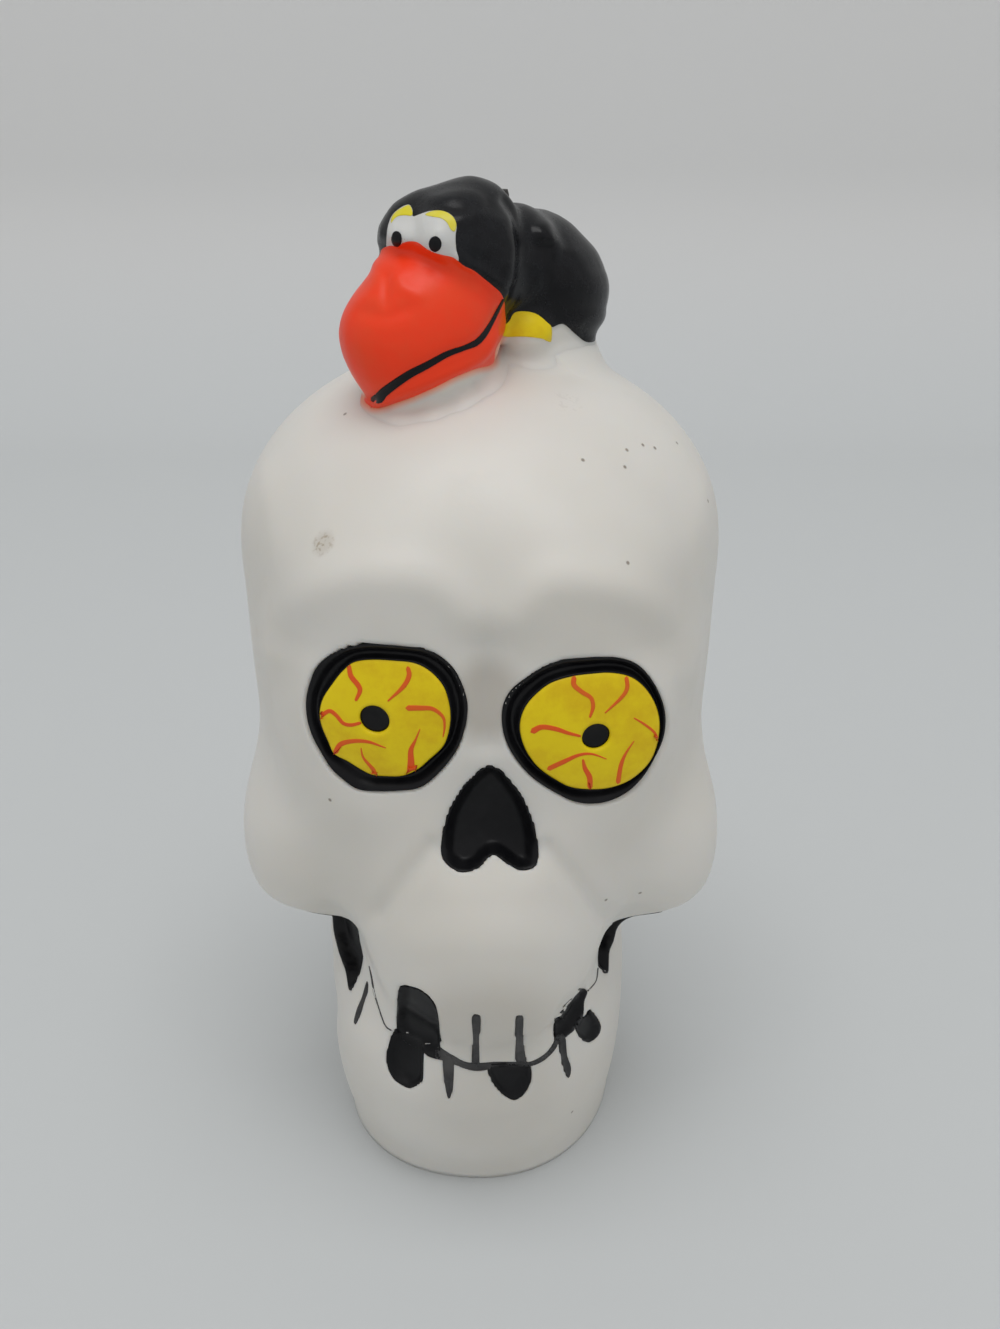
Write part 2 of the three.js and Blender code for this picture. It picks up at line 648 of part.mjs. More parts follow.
const facePlace = birdLayerPlace(birdFace);
let facePatch = layerSolid(facePlace, birdFaceShares, faceLayer, headSkin).subtract(belowBase);
let birdHeadSolid = head.subtract(layerSeat(facePlace, birdFaceShares, faceLayer, headSkin));
for (const side of ["left", "right"]) {
  const pupilPlace = birdLayerPlace(birdPupils[side]);
  const lidPlace = birdLayerPlace(birdLids[side]);
  const lidShares = birdLidShares.map(([across, up]) => [across * birdLids[side].side, up]);
  const pupilSeat = layerSeat(pupilPlace, birdPupilShares, faceLayer, headSkin);
  const lidSeat = layerSeat(lidPlace, lidShares, faceLayer, headSkin);
  facePatch = facePatch.subtract(pupilSeat).subtract(lidSeat);
  birdHeadSolid = birdHeadSolid.subtract(pupilSeat).subtract(lidSeat);
  const pupil = layerSolid(pupilPlace, birdPupilShares, faceLayer, headSkin).subtract(belowBase);
  const lid = layerSolid(lidPlace, lidShares, faceLayer, headSkin);
  addPiece(`bird_pupil_${side}`, geometryOf(pupil), finishes.black);
  addPiece(`bird_eyelid_${side}`, geometryOf(lid), finishes.yellow);
}
addPiece("bird_face", geometryOf(facePatch), finishes.white);
addPiece("bird_head", geometryOf(birdHeadSolid), finishes.black);
addPiece("bird_body", geometryOf(body), finishes.black);
addPiece("bird_foot", geometryOf(footSolid), finishes.yellow);

// The mouth line is a black wedge between the two halves of the beak.
function mouthHalf(side, clearance) {
  const lift = side * (beak.mouthBack / 2 + clearance);
  return birdHalf(beak.cornerX, beak.cornerZ, -beak.mouthSlope + side * mouthWedge, lift);
}
const mouthSolid = beakSkin(-beak.mouthProud).subtract(aboveBase).subtract(skullOver).subtract(perchOver)
  .subtract(bodySkin(-gap)).subtract(mouthHalf(1, 0)).intersect(mouthHalf(-1, 0));
addPiece("beak_upper", geometryOf(beakFront.intersect(mouthHalf(1, gap))), finishes.orange);
addPiece("beak_lower", geometryOf(beakFront.subtract(mouthHalf(-1, gap))), finishes.orange);
addPiece("beak_mouth_line", geometryOf(mouthSolid), finishes.black);

// The skull, with the seats of the eyes, of the black layers and of the wick cut into it.
let skull = skullSkin(0).add(perchSkin(0)).subtract(wickBore);
const taken = [];
for (const [name, place] of Object.entries(layers)) {
  let layer = layerSolid(place, place.shares, place.size, skullSkin);
  for (const other of taken) layer = layer.subtract(other);
  const seat = layerSeat(place, place.shares, place.size, skullSkin);
  addPiece(name, geometryOf(layer), finishes.black);
  skull = skull.subtract(seat);
  taken.push(seat);
}

// A round solid about the vertical axis through the wick, from pairs of radius and height.
function turned(profile, segments) {
  const points = profile.map(([radius, height]) => new THREE.Vector2(radius, height));
  return new THREE.LatheGeometry(points, segments).rotateX(Math.PI / 2);
}

for (const [side, place] of Object.entries(eyePlaces)) {
  const back = -eye.pocketDepth + gap;
  const toEye = new THREE.Quaternion().setFromUnitVectors(new THREE.Vector3(0, 0, 1), eyeAxis(place));
  const placed = new THREE.Matrix4().makeTranslation(place.x, place.y, place.z)
    .multiply(new THREE.Matrix4().makeRotationFromQuaternion(toEye));
  const pocket = turned([
    [0, -eye.pocketDepth], [eye.ringRadius + gap, -eye.pocketDepth],
    [eye.ringRadius + gap, overrun], [0, overrun],
  ], eye.segments);
  skull = skull.subtract(solidOf(pocket.applyMatrix4(placed)));

  const dome = [];
  const shoulder = eye.ballRadius - eye.ballRound;
  for (let i = 0; i <= eye.shoulderSteps; i += 1) {
    const angle = (Math.PI / 2) * (i / eye.shoulderSteps);
    dome.push([shoulder + eye.ballRound * Math.cos(angle), eye.ballRound * (Math.sin(angle) - 1)]);
  }
  for (let i = 1; i < eye.domeSteps; i += 1) {
    const radius = shoulder * (1 - i / eye.domeSteps);
    dome.push([radius, eye.bulge * (1 - (radius / shoulder) ** 2)]);
  }
  const ball = solidOf(turned([[0, back], [eye.ballRadius, back], ...dome, [0, eye.bulge]], eye.segments));
  const pupilBottom = eye.bulge - eye.pupilDepth;
  const pupilTop = eye.bulge - eye.pupilSink;
  const hole = turned([
    [0, pupilBottom], [eye.pupilRadius + gap, pupilBottom],
    [eye.pupilRadius + gap, eye.bulge + overrun], [0, eye.bulge + overrun],
  ], eye.segments).translate(place.pupilX, place.pupilZ, 0);
  const pupil = turned([
    [0, pupilBottom + gap], [eye.pupilRadius, pupilBottom + gap], [eye.pupilRadius, pupilTop],
    [eye.pupilRadius / 2, pupilTop - eye.pupilHollow * eye.hollowShare], [0, pupilTop - eye.pupilHollow],
  ], eye.segments).translate(place.pupilX, place.pupilZ, 0);
  const inner = eye.ballRadius + gap;
  const middle = (inner + eye.ringRadius) / 2;
  const ring = turned([
    [inner, back], [eye.ringRadius, back], [eye.ringRadius, 0],
    [(middle + eye.ringRadius) / 2, -eye.moat * eye.hollowShare], [middle, -eye.moat],
    [inner, -eye.moat], [inner, back],
  ], eye.segments);
  const socket = new THREE.Group();
  socket.position.set(place.x, place.y, place.z);
  socket.quaternion.copy(toEye);
  candle.add(socket);
  socket.add(addPiece(`eyeball_${side}`, geometryOf(ball.subtract(solidOf(hole))), finishes.yellow));
  socket.add(addPiece(`eye_ring_${side}`, ring, finishes.black));
  socket.add(addPiece(`pupil_${side}`, pupil, finishes.black));
}

// The wick's lower end stands in a metal sustainer, and a plug of wax closes the base below it.
const sustainerTop = sustainer.bottom + sustainer.thickness;
const seatTool = turned([
  [0, -overrun], [sustainer.radius + gap, -overrun], [sustainer.radius + gap, sustainerTop + gap],
  [sustainer.neckRadius + gap, sustainerTop + gap],
  [sustainer.neckRadius + gap, sustainerTop + sustainer.neckHeight + gap],
  [0, sustainerTop + sustainer.neckHeight + gap],
], sustainer.segments);
skull = skull.subtract(solidOf(seatTool.translate(wick.x, wick.y, 0)));
addPiece("skull_wax", geometryOf(skull), finishes.white);

const core = new THREE.Group();
core.position.set(wick.x, wick.y, 0);
candle.add(core);
core.add(addPiece("wick_sustainer", turned([
  [boreRadius, sustainer.bottom], [sustainer.radius, sustainer.bottom], [sustainer.radius, sustainerTop],
  [sustainer.neckRadius, sustainerTop], [sustainer.neckRadius, sustainerTop + sustainer.neckHeight],
  [boreRadius, sustainerTop + sustainer.neckHeight], [boreRadius, sustainer.bottom],
], sustainer.segments), finishes.tin));
core.add(addPiece("wick", turned([
  [0, wick.foot], [wick.radius, wick.foot], [wick.radius, wickTop - wick.tip], [wick.tipRadius, wickTop],
  [0, wickTop],
], wick.sides), finishes.cotton));
core.add(addPiece("base_plug", turned([
  [0, 0], [sustainer.radius, 0], [sustainer.radius, sustainer.bottom - gap], [0, sustainer.bottom - gap],
], sustainer.segments), finishes.white));

export default candle;
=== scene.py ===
# %% [markdown]
# # A skull candle with a crow on its head
# The object is a solid wax candle, cast in one mould and painted by hand: a tall ivory skull with yellow
# eyes, and a comic crow that lies across the top with its orange beak hanging over the brow. The CAD part
# holds every piece at its real size. This script keeps those places and makes the fine surfaces: smooth
# wax, hollows, brush strokes and finishes.
#
# Everything is in metres, in the frame of the CAD part: +Z is up and the face looks along -Y.

import math

import bmesh
import bpy
import numpy as np
from bmesh.types import BMEdge, BMFace, BMVert
from mathutils import Matrix, Vector
from mathutils.bvhtree import BVHTree


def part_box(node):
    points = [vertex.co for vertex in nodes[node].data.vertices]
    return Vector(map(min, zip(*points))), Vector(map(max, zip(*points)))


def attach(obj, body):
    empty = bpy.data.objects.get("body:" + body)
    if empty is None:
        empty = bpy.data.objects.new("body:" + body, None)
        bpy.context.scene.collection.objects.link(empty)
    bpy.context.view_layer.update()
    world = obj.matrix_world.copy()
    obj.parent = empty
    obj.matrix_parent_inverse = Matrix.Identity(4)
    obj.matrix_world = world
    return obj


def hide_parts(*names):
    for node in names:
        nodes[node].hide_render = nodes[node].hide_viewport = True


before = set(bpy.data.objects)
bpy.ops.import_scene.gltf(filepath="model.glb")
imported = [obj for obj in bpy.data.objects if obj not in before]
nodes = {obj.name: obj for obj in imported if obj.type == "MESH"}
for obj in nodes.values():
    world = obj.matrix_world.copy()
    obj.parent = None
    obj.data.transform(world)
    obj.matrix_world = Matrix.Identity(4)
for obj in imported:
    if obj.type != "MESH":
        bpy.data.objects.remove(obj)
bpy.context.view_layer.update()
mm = 0.001
tau = 2 * math.pi
print("CAD nodes:", len(nodes))

# %% [markdown]
# ## The camera comes first
# The photograph was taken from a little above, straight at the face. With the same camera in the script,
# a point that was read off the picture becomes a line of sight, and the line meets the wax at the place
# where the painter's brush did. So the painted shapes below are short lists of picture points, and the
# camera puts them on the surface. The picture is 1000 pixels wide and 1329 high.

# %% Camera, and the step between picture points and lines of sight
picture = {"width": 1000, "height": 1329, "focal": 1480}
viewpoint = {"target": Vector((3.4, 0, 91.6)) * mm, "distance": 264 * mm, "rise": math.radians(28)}
sensor = 36
ahead = Vector((0, math.cos(viewpoint["rise"]), -math.sin(viewpoint["rise"])))
upward = Vector((0, math.sin(viewpoint["rise"]), math.cos(viewpoint["rise"])))
sideways = Vector((1, 0, 0))
stand = viewpoint["target"] - ahead * viewpoint["distance"]

camera_data = bpy.data.cameras.new("photo_camera")
camera_data.lens = picture["focal"] / picture["height"] * sensor
camera_data.sensor_width = sensor
camera = bpy.data.objects.new("photo_camera", camera_data)
camera.location = stand
camera.rotation_euler = (math.pi / 2 - viewpoint["rise"], 0, 0)
bpy.context.scene.collection.objects.link(camera)
bpy.context.scene.camera = camera


class PhotoView:
    """The photograph's own view, in pixels."""

    def line(self, pixel):
        """Where the line of sight starts, and its direction."""
        across = pixel[0] - picture["width"] / 2
        down = pixel[1] - picture["height"] / 2
        return stand, (ahead * picture["focal"] + sideways * across - upward * down).normalized()

    def flat(self, points):
        """The picture points of an array of places."""
        offset = points - np.array(stand)
        scale = picture["focal"] / (offset @ np.array(ahead))
        across = picture["width"] / 2 + offset @ np.array(sideways) * scale
        down = picture["height"] / 2 - offset @ np.array(upward) * scale
        return np.stack([across, down], axis=1)

    def toward(self, points):
        """From each place, the direction to the viewer."""
        offset = np.array(stand) - points
        return offset / np.linalg.norm(offset, axis=1)[:, None]


photo = PhotoView()
print("lens", round(camera_data.lens, 1))

# %% [markdown]
# ## Small tools for meshes
# A bmesh is Blender's workbench for a mesh: operators change it, and at the end it becomes an object.
# A sculptor's move is easier on all the vertices at once, so small functions take their places out as an
# array and put them back.

# %% Between a bmesh, an array of places and an object
weld = 0.0005 * mm


def places(bm):
    return np.array([vertex.co for vertex in bm.verts])


def put(bm, points):
    for vertex, point in zip(bm.verts, points):
        vertex.co = point
    bm.normal_update()


def normals(bm):
    return np.array([vertex.normal for vertex in bm.verts])


def only(kind, parts):
    return [part for part in parts if isinstance(part, kind)]


def turn_out(bm):
    """Make every face look outwards."""
    bmesh.ops.recalc_face_normals(bm, faces=bm.faces)


def soften(bm, rounds, verts=None):
    verts = bm.verts if verts is None else verts
    for _ in range(rounds):
        bmesh.ops.smooth_vert(
            bm, verts=verts, factor=0.5, use_axis_x=True, use_axis_y=True, use_axis_z=True,
        )


def joined_copy(names):
    """One bmesh with copies of CAD nodes, their loose triangles merged."""
    bm = bmesh.new()
    for name in names:
        bm.from_mesh(nodes[name].data)
    bmesh.ops.remove_doubles(bm, verts=bm.verts, dist=weld)
    return bm


def make_piece(name, bm):
    mesh = bpy.data.meshes.new(name)
    bm.to_mesh(mesh)
    bm.free()
    mesh.shade_smooth()
    piece = bpy.data.objects.new(name, mesh)
    bpy.context.scene.collection.objects.link(piece)
    print(f"{name}: {len(mesh.polygons)} faces")
    return piece


# %% [markdown]
# ## The skull's skin
# The CAD skull is a net of flat facets, right in size and place. The real wax is smooth, with soft
# hollows. A voxel remesh would give even cells everywhere, but the face needs finer ones than the back.
# So the skin starts as a sphere, whose rings and columns are spread over the skull, close together on
# the face, and each vertex is then pulled onto the CAD skull by a ray from outside.

# %% Where the rings and columns of the skin lie
skull_nodes = ["skull_wax"] + [
    name for name in nodes
    if name.split("_")[0] in ("eye", "eyeball", "pupil", "nose", "gap", "mouth", "slit", "jaw")
]
skin = {
    "middle": Vector((0, 4, 0)) * mm, "dome_from": 112 * mm, "far": 90 * mm,
    "dome_rings": 88, "face_rings": 184, "chin_rings": 22, "chin_to": 20 * mm,
    "front_columns": 208, "back_columns": 86, "front_angle": math.radians(76),
}
ring_count = skin["dome_rings"] + skin["face_rings"] + skin["chin_rings"]
column_count = skin["front_columns"] + skin["back_columns"]


def column_angle(column):
    """The angle from -Y: columns are close together over the face."""
    half = skin["front_columns"] / 2
    side = column if column <= column_count / 2 else column - column_count
    if abs(side) <= half:
        return side / half * skin["front_angle"]
    share = (abs(side) - half) / (skin["back_columns"] / 2)
    return math.copysign(skin["front_angle"] + share * (math.pi - skin["front_angle"]), side)


def ring_ray(ring):
    """The height where a ring's rays meet the axis, and how far they tilt up."""
    if ring <= skin["dome_rings"]:
        return skin["dome_from"], math.pi / 2 * (1 - ring / skin["dome_rings"])
    face = ring - skin["dome_rings"]
    if face <= skin["face_rings"]:
        share = face / skin["face_rings"]
        return skin["dome_from"] + (skin["chin_to"] - skin["dome_from"]) * share, 0
    return skin["chin_to"] * (1 - (face - skin["face_rings"]) / skin["chin_rings"]), 0


print("skin:", ring_count, "rings of", column_count)

# %% Pull the skin onto the CAD skull
cast_lift = 0.02 * mm
cad_skull = joined_copy(skull_nodes)
cad_canvas = BVHTree.FromBMesh(cad_skull)
cad_skull.free()

ray_start = np.zeros((ring_count + 1, column_count, 3))
ray_way = np.zeros((ring_count + 1, column_count, 3))
reach = np.zeros((ring_count + 1, column_count))
for ring in range(ring_count + 1):
    height, tilt = ring_ray(ring)
    start = skin["middle"] + Vector((0, 0, max(height, cast_lift)))
    for column in range(column_count):
        angle = column_angle(column)
        level = math.cos(tilt)
        way = Vector((math.sin(angle) * level, -math.cos(angle) * level, math.sin(tilt)))
        hit = cad_canvas.ray_cast(start + way * skin["far"], -way)
        ray_start[ring, column] = start
        ray_way[ring, column] = way
        reach[ring, column] = skin["far"] - hit[3]
print("reach from", round(reach.min() / mm, 1), "to", round(reach.max() / mm, 1), "mm")

# %% [markdown]
# The CAD pieces stand 0.3 mm apart, and some rays fall into those slits. A closing, which is the
# highest neighbour and then the lowest of those, fills a slit and leaves everything wider. After it,
# many small averages take the facets away.

# %% Close the slits and smooth the facets
slit_cells = 2
slit_depth = 0.05 * mm
smooth_rounds = 26


def neighbours(field, rings, columns):
    """The field moved by some cells. Columns go round, and the end rings repeat."""
    rows = np.clip(np.arange(field.shape[0]) + rings, 0, field.shape[0] - 1)
    return np.roll(field[rows], columns, axis=1)


closed = reach
for pick in (np.maximum, np.minimum):
    for along in ((1, 0), (0, 1)):
        spread = closed.copy()
        for step in range(1, slit_cells + 1):
            for side in (-step, step):
                spread = pick(spread, neighbours(closed, along[0] * side, along[1] * side))
        closed = spread
reach = np.where(closed - reach > slit_depth, closed, reach)
for _ in range(smooth_rounds):
    for along in ((1, 0), (0, 1)):
        both = neighbours(reach, *along) + neighbours(reach, -along[0], -along[1])
        reach = (2 * reach + both) / 4
reach[0] = reach[0].mean()

skin_bm = bmesh.new()
bmesh.ops.create_uvsphere(skin_bm, u_segments=column_count, v_segments=ring_count + 1, radius=1)
unit = places(skin_bm)
ring_of = np.rint(np.arccos(np.clip(unit[:, 2], -1, 1)) / math.pi * (ring_count + 1)).astype(int)
round_axis = np.arctan2(unit[:, 1], unit[:, 0]) % tau
meridians = np.sort(round_axis[ring_of == ring_count // 2])
half_way = (meridians[1:] + meridians[:-1]) / 2
half_column = tau / column_count / 2
from_first = (round_axis - meridians[0] + half_column) % tau
column_of = np.searchsorted(half_way - meridians[0] + half_column, from_first)
last_ring = np.minimum(ring_of, ring_count)
skin_points = ray_start + ray_way * reach[:, :, None]
skin_points[ring_count, :, 2] = 0
spread_points = skin_points[last_ring, column_of]
spread_points[ring_of > ring_count] = 0
put(skin_bm, spread_points)
turn_out(skin_bm)
skin_bm.normal_update()
print("skin vertices:", len(skin_bm.verts))

# %% [markdown]
# ## Clay strokes
# What the facets could not hold is sculpted now. A clay stroke is a line of picture points with a width
# and a height: wax is added along it, or pressed in where the height is negative. The line of sight
# says which vertices lie under the stroke, and the vertices move along their own normals.

# %% Distances in the picture
seen_tilt = 0.05
full_tilt = 0.3
tiny = 1e-12


def smooth_line(points, closed=False, per_span=8):
    """A Catmull-Rom curve through the points."""
    points = np.array(points, float)
    if closed:
        padded = np.concatenate([points[-1:], points, points[:2]])
    else:
        padded = np.concatenate([2 * points[:1] - points[1:2], points, 2 * points[-1:] - points[-2:-1]])
    curve = []
    for a, b, c, d in zip(padded, padded[1:], padded[2:], padded[3:]):
        for t in np.arange(per_span) / per_span:
            curve.append(((2 * b) + (c - a) * t + (2 * a - 5 * b + 4 * c - d) * t**2
                          + (3 * b - a - 3 * c + d) * t**3) / 2)
    if not closed:
        curve.append(points[-1])
    return np.array(curve)


def smooth_loop(points, per_span=8):
    return smooth_line(points, closed=True, per_span=per_span)


def gap_to_line(spots, line, closed=False):
    """How far each spot is from a line of points."""
    ends = np.roll(line, -1, axis=0) if closed else line[1:]
    nearest = np.full(len(spots), np.inf)
    for a, b in zip(line, ends):
        along = b - a
        share = np.clip((spots - a) @ along / max(along @ along, tiny), 0, 1)
        nearest = np.minimum(nearest, np.linalg.norm(spots - a - share[:, None] * along, axis=1))
    return nearest


def is_inside(spots, loop):
    found = np.zeros(len(spots), bool)
    for (ax, ay), (bx, by) in zip(loop, np.roll(loop, -1, axis=0)):
        if ay == by:
            continue
        crosses = (ay > spots[:, 1]) != (by > spots[:, 1])
        found ^= crosses & (spots[:, 0] < ax + (spots[:, 1] - ay) * (bx - ax) / (by - ay))
    return found


def depth_inside(spots, loop, margin=20):
    """Distance to the loop, positive inside it and negative outside, down to minus the margin."""
    close = ((spots > loop.min(axis=0) - margin) & (spots < loop.max(axis=0) + margin)).all(axis=1)
    depth = np.full(len(spots), -float(margin))
    sign = np.where(is_inside(spots[close], loop), 1, -1)
    depth[close] = sign * gap_to_line(spots[close], loop, closed=True)
    return depth


def soft_step(x):
    t = np.clip(x, 0, 1)
    return t * t * (3 - 2 * t)


def facing(points, ways, view, deepest):
    """The places that face a view: their numbers, flat places, and from 0 to 1 how squarely."""
    squarely = (view.toward(points) * ways).sum(axis=1)
    seen = np.flatnonzero((squarely > seen_tilt) & (points[:, 1] < deepest))
    return seen, view.flat(points[seen]), soft_step((squarely[seen] - seen_tilt) / full_tilt)


def add_clay(bm, strokes, view, deepest):
    """Each stroke is its line of points, its half-width in the view and its height in mm."""
    points, ways = places(bm), normals(bm)
    seen, spots, squarely = facing(points, ways, view, deepest)
    for line, width, height in strokes.values():
        near = np.exp(-(gap_to_line(spots, smooth_line(line)) / width) ** 2)
        points[seen] += ways[seen] * (near * squarely * height * mm)[:, None]
    put(bm, points)


# %% Sculpt the brows, cheeks and muzzle
skull_deepest = skin["middle"].y
skull_strokes = {
    "left brow": ([(282, 650), (294, 608), (342, 578), (390, 575), (437, 584), (466, 612)], 24, 1.0),
    "right brow": ([(515, 615), (549, 584), (603, 584), (645, 601), (676, 633), (690, 668)], 24, 1.0),
    "left temple": ([(262, 470), (276, 560), (272, 650), (262, 730)], 14, 0.4),
    "right temple": ([(708, 480), (694, 560), (698, 650), (700, 730)], 14, 0.4),
    "left cheek crease": ([(432, 848), (405, 878), (378, 912)], 11, -0.9),
    "right cheek crease": ([(548, 850), (580, 886), (606, 918)], 11, -0.9),
    "between the eyes": ([(487, 650), (487, 700), (487, 745)], 17, -1.1),
    "muzzle": ([(487, 925), (487, 985)], 50, 1.2),
    "left cheek": ([(298, 845), (300, 868)], 36, 1.0),
    "right cheek": ([(655, 850), (655, 873)], 36, 1.0),
}
add_clay(skin_bm, skull_strokes, photo, skull_deepest)
print("strokes:", len(skull_strokes))

# %% [markdown]
# The upper jaw lies over the lower one, as a layer with a thin bright edge. Everything inside its
# outline is lifted a little, with a steep slope at the edge, and the lift fades out towards the cheeks.

# %% Lift the upper jaw
upper_jaw = {"lift": 0.75 * mm, "slope": 3, "fades_over": (900, 950)}
upper_jaw_outline = [
    (345, 903), (354, 912), (360, 930), (366, 955), (370, 975), (378, 1007), (386, 1028), (398, 1036),
    (420, 1048), (436, 1054), (452, 1060), (466, 1065), (480, 1067), (495, 1065), (512, 1064),
    (530, 1064), (545, 1056), (556, 1042), (566, 1037), (577, 1026), (585, 1008), (590, 985),
    (596, 965), (597, 948), (601, 932), (608, 920), (614, 905), (600, 800), (487, 760), (370, 800),
    (330, 880),
]


def press(bm, cases, fades_over=None):
    """Press what lies inside outlines. Each case is an outline, its view, a depth, and over what
    stretch inside the outline the depth is reached. Where two overlap, the deeper one counts."""
    points, ways = places(bm), normals(bm)
    moved = np.zeros(len(points))
    for outline, view, depth, (begins, ends) in cases:
        seen, spots, squarely = facing(points, ways, view, skull_deepest)
        inside = depth_inside(spots, smooth_loop(outline))
        change = depth * soft_step((inside - begins) / (ends - begins)) * squarely
        if fades_over:
            top, bottom = fades_over
            change *= soft_step((spots[:, 1] - top) / (bottom - top))
        moved[seen] = np.where(np.abs(change) > np.abs(moved[seen]), change, moved[seen])
    put(bm, points - ways * moved[:, None])


lift = (upper_jaw_outline, photo, -upper_jaw["lift"], (0, upper_jaw["slope"]))
press(skin_bm, [lift], fades_over=upper_jaw["fades_over"])
plain_canvas = BVHTree.FromBMesh(skin_bm)
print("upper jaw lifted by", upper_jaw["lift"] / mm, "mm")

# %% [markdown]
# ## Hollows under the paint
# The nose, the gaps between the teeth and the shadows beside the jaw are pressed into the wax, and then
# painted black. Their outlines are listed picture points, and serve twice: once to press the
# hollow, and again for the skin of paint that fills it.

# %% Outlines of the painted shapes on the skull
outlines = {
    "nose_cavity": [
        (486, 767), (470, 780), (459, 794), (448, 815), (441, 846), (444, 860), (455, 870), (465, 872),
        (479, 867), (487, 858), (494, 855), (503, 860), (513, 867), (525, 870), (536, 865), (538, 850),
        (534, 827), (524, 801), (509, 780), (498, 769),
    ],
    "gap_upper_left": [
        (400, 987), (412, 987), (425, 993), (435, 1005), (439, 1022), (440, 1042), (440, 1058),
        (430, 1057), (420, 1050), (410, 1045), (398, 1034), (397, 1008),
    ],
    "gap_lower_left": [
        (393, 1033), (388, 1048), (387, 1064), (393, 1078), (402, 1085), (411, 1088), (422, 1080),
        (423, 1062), (422, 1045), (412, 1038), (402, 1033), (397, 1030),
    ],
    "gap_lower_middle": [
        (488, 1067), (500, 1064), (515, 1064), (529, 1065), (531, 1080), (524, 1094), (514, 1100),
        (504, 1095), (494, 1084),
    ],
    "gap_upper_right": [
        (587, 991), (577, 989), (566, 997), (557, 1010), (554, 1026), (555, 1040), (562, 1039),
        (570, 1034), (577, 1026), (583, 1016), (584, 1002),
    ],
    "gap_lower_right": [
        (590, 1010), (600, 1023), (599, 1034), (590, 1042), (582, 1039), (576, 1031), (575, 1023),
        (579, 1019), (585, 1016),
    ],
    "slit_upper_left": [(472, 1017), (480, 1017), (479, 1040), (479, 1064), (472, 1064), (473, 1040)],
    "slit_upper_right": [(516, 1018), (523, 1018), (523, 1040), (526, 1064), (517, 1064), (516, 1040)],
    "slit_lower_left": [(443, 1057), (453, 1059), (453, 1085), (449, 1099), (445, 1085)],
    "slit_lower_right": [(559, 1037), (565, 1037), (567, 1055), (571, 1068), (568, 1078), (562, 1062)],
    "mouth_line": [
        (436, 1046), (452, 1055), (466, 1062), (480, 1063), (495, 1062), (512, 1062), (530, 1062),
        (545, 1054), (553, 1044), (556, 1034), (560, 1036), (558, 1044), (553, 1052), (543, 1061),
        (531, 1066), (515, 1066), (500, 1066), (490, 1069), (478, 1071), (466, 1069), (456, 1065),
        (446, 1061), (436, 1058),
    ],
    "jaw_crack_left": [
        (367, 981), (368, 990), (364, 1003), (361, 1013), (356, 1024), (354, 1021), (357, 1009),
        (362, 997),
    ],
}
# How deep each hollow is in mm, and how far from its outline the full depth is reached, in pixels.
hollows = {
    "nose_cavity": (2.2, 16), "gap_upper_left": (1.6, 7), "gap_lower_left": (1.4, 7),
    "gap_lower_middle": (1.2, 7), "gap_upper_right": (1.4, 6), "gap_lower_right": (1.2, 6),
    "slit_upper_left": (0.5, 4), "slit_upper_right": (0.5, 4), "slit_lower_left": (0.5, 4),
    "slit_lower_right": (0.5, 4), "mouth_line": (0.5, 4), "jaw_crack_left": (0.4, 3),
}

# %% Correct the jaw's contour under the left cheekbone
def gap_to_spot(points, spot):
    """How many pixels each place lies from a picture point."""
    return np.linalg.norm(photo.flat(points) - np.array(spot), axis=1)


def grab(bm, spot, radius, shift, hold=1):
    """Pull the wax near a picture point by a few pixels. Where hold is 0 it stays."""
    points = places(bm)
    near = np.exp(-(gap_to_spot(points, spot) / radius) ** 2) * hold
    pixel = ((points - np.array(stand)) @ np.array(ahead)) / picture["focal"]
    way = np.array(sideways * shift[0] - upward * shift[1])
    put(bm, points + way * (near * pixel)[:, None])


jaw_grabs = [((326, 920), 20, (-9, 0)), ((336, 1000), 24, (4, 0))]
for move in jaw_grabs:
    grab(skin_bm, *move)

# %% Press the hollows of the face
press(skin_bm, [
    (outlines[name], photo, depth * mm, (-1, slope - 1))
    for name, (depth, slope) in hollows.items()
])
print("hollows:", len(hollows))

# %% [markdown]
# The openings behind the upper jaw run round to the sides, where the photograph looks along the wax. So
# they are drawn in a square-on view from each side, in millimetres. It has the same three methods as the
# photograph's view, so the same tools work in both.

# %% Press the openings at the sides of the jaw
class SideView:
    """A square-on view from a turned direction, in millimetres across and up."""

    def __init__(self, turn):
        self.out = Vector((-math.sin(turn), -math.cos(turn), 0))
        self.across = Vector((math.cos(turn), -math.sin(turn), 0))

    def line(self, spot):
        start = self.out * skin["far"] + self.across * spot[0] * mm
        start.z = spot[1] * mm
        return start, -self.out

    def flat(self, points):
        return np.stack([points @ np.array(self.across), points[:, 2]], axis=1) / mm

    def toward(self, points):
        return np.array(self.out)


side_turn = math.radians(50)
side_views = {"jaw_shadow_left": SideView(side_turn), "jaw_shadow_right": SideView(-side_turn)}
side_outlines = {
    "jaw_shadow_left": [
        (-9.0, 51.0), (-0.55, 52.2), (2.7, 50.7), (1.8, 47.2), (4.0, 43.8), (3.0, 37.4), (-0.7, 39.2),
        (-9.0, 41.2),
    ],
    "jaw_shadow_right": [
        (7.5, 50.2), (1.5, 52.0), (-3.5, 51.5), (-2.9, 44.3), (-2.6, 41.0), (0.2, 37.6), (2.4, 40.5),
        (6.2, 41.8),
    ],
}
side_opening = {"depth": 2.2 * mm, "wall": (0.3, 1.5)}
press(skin_bm, [
    (outline, side_views[name], side_opening["depth"], side_opening["wall"])
    for name, outline in side_outlines.items()
])
print("side openings:", len(side_outlines))

# %% [markdown]
# ## The eyes
# Each eye is a low dome in a moat. The moat is painted black and the dome yellow, by hand, so neither
# border is a true circle. A spun ring gives clean rings of faces. Its profile is spun between radius 1
# and 2, and then every vertex slides along its spoke to lie between the two painted borders.

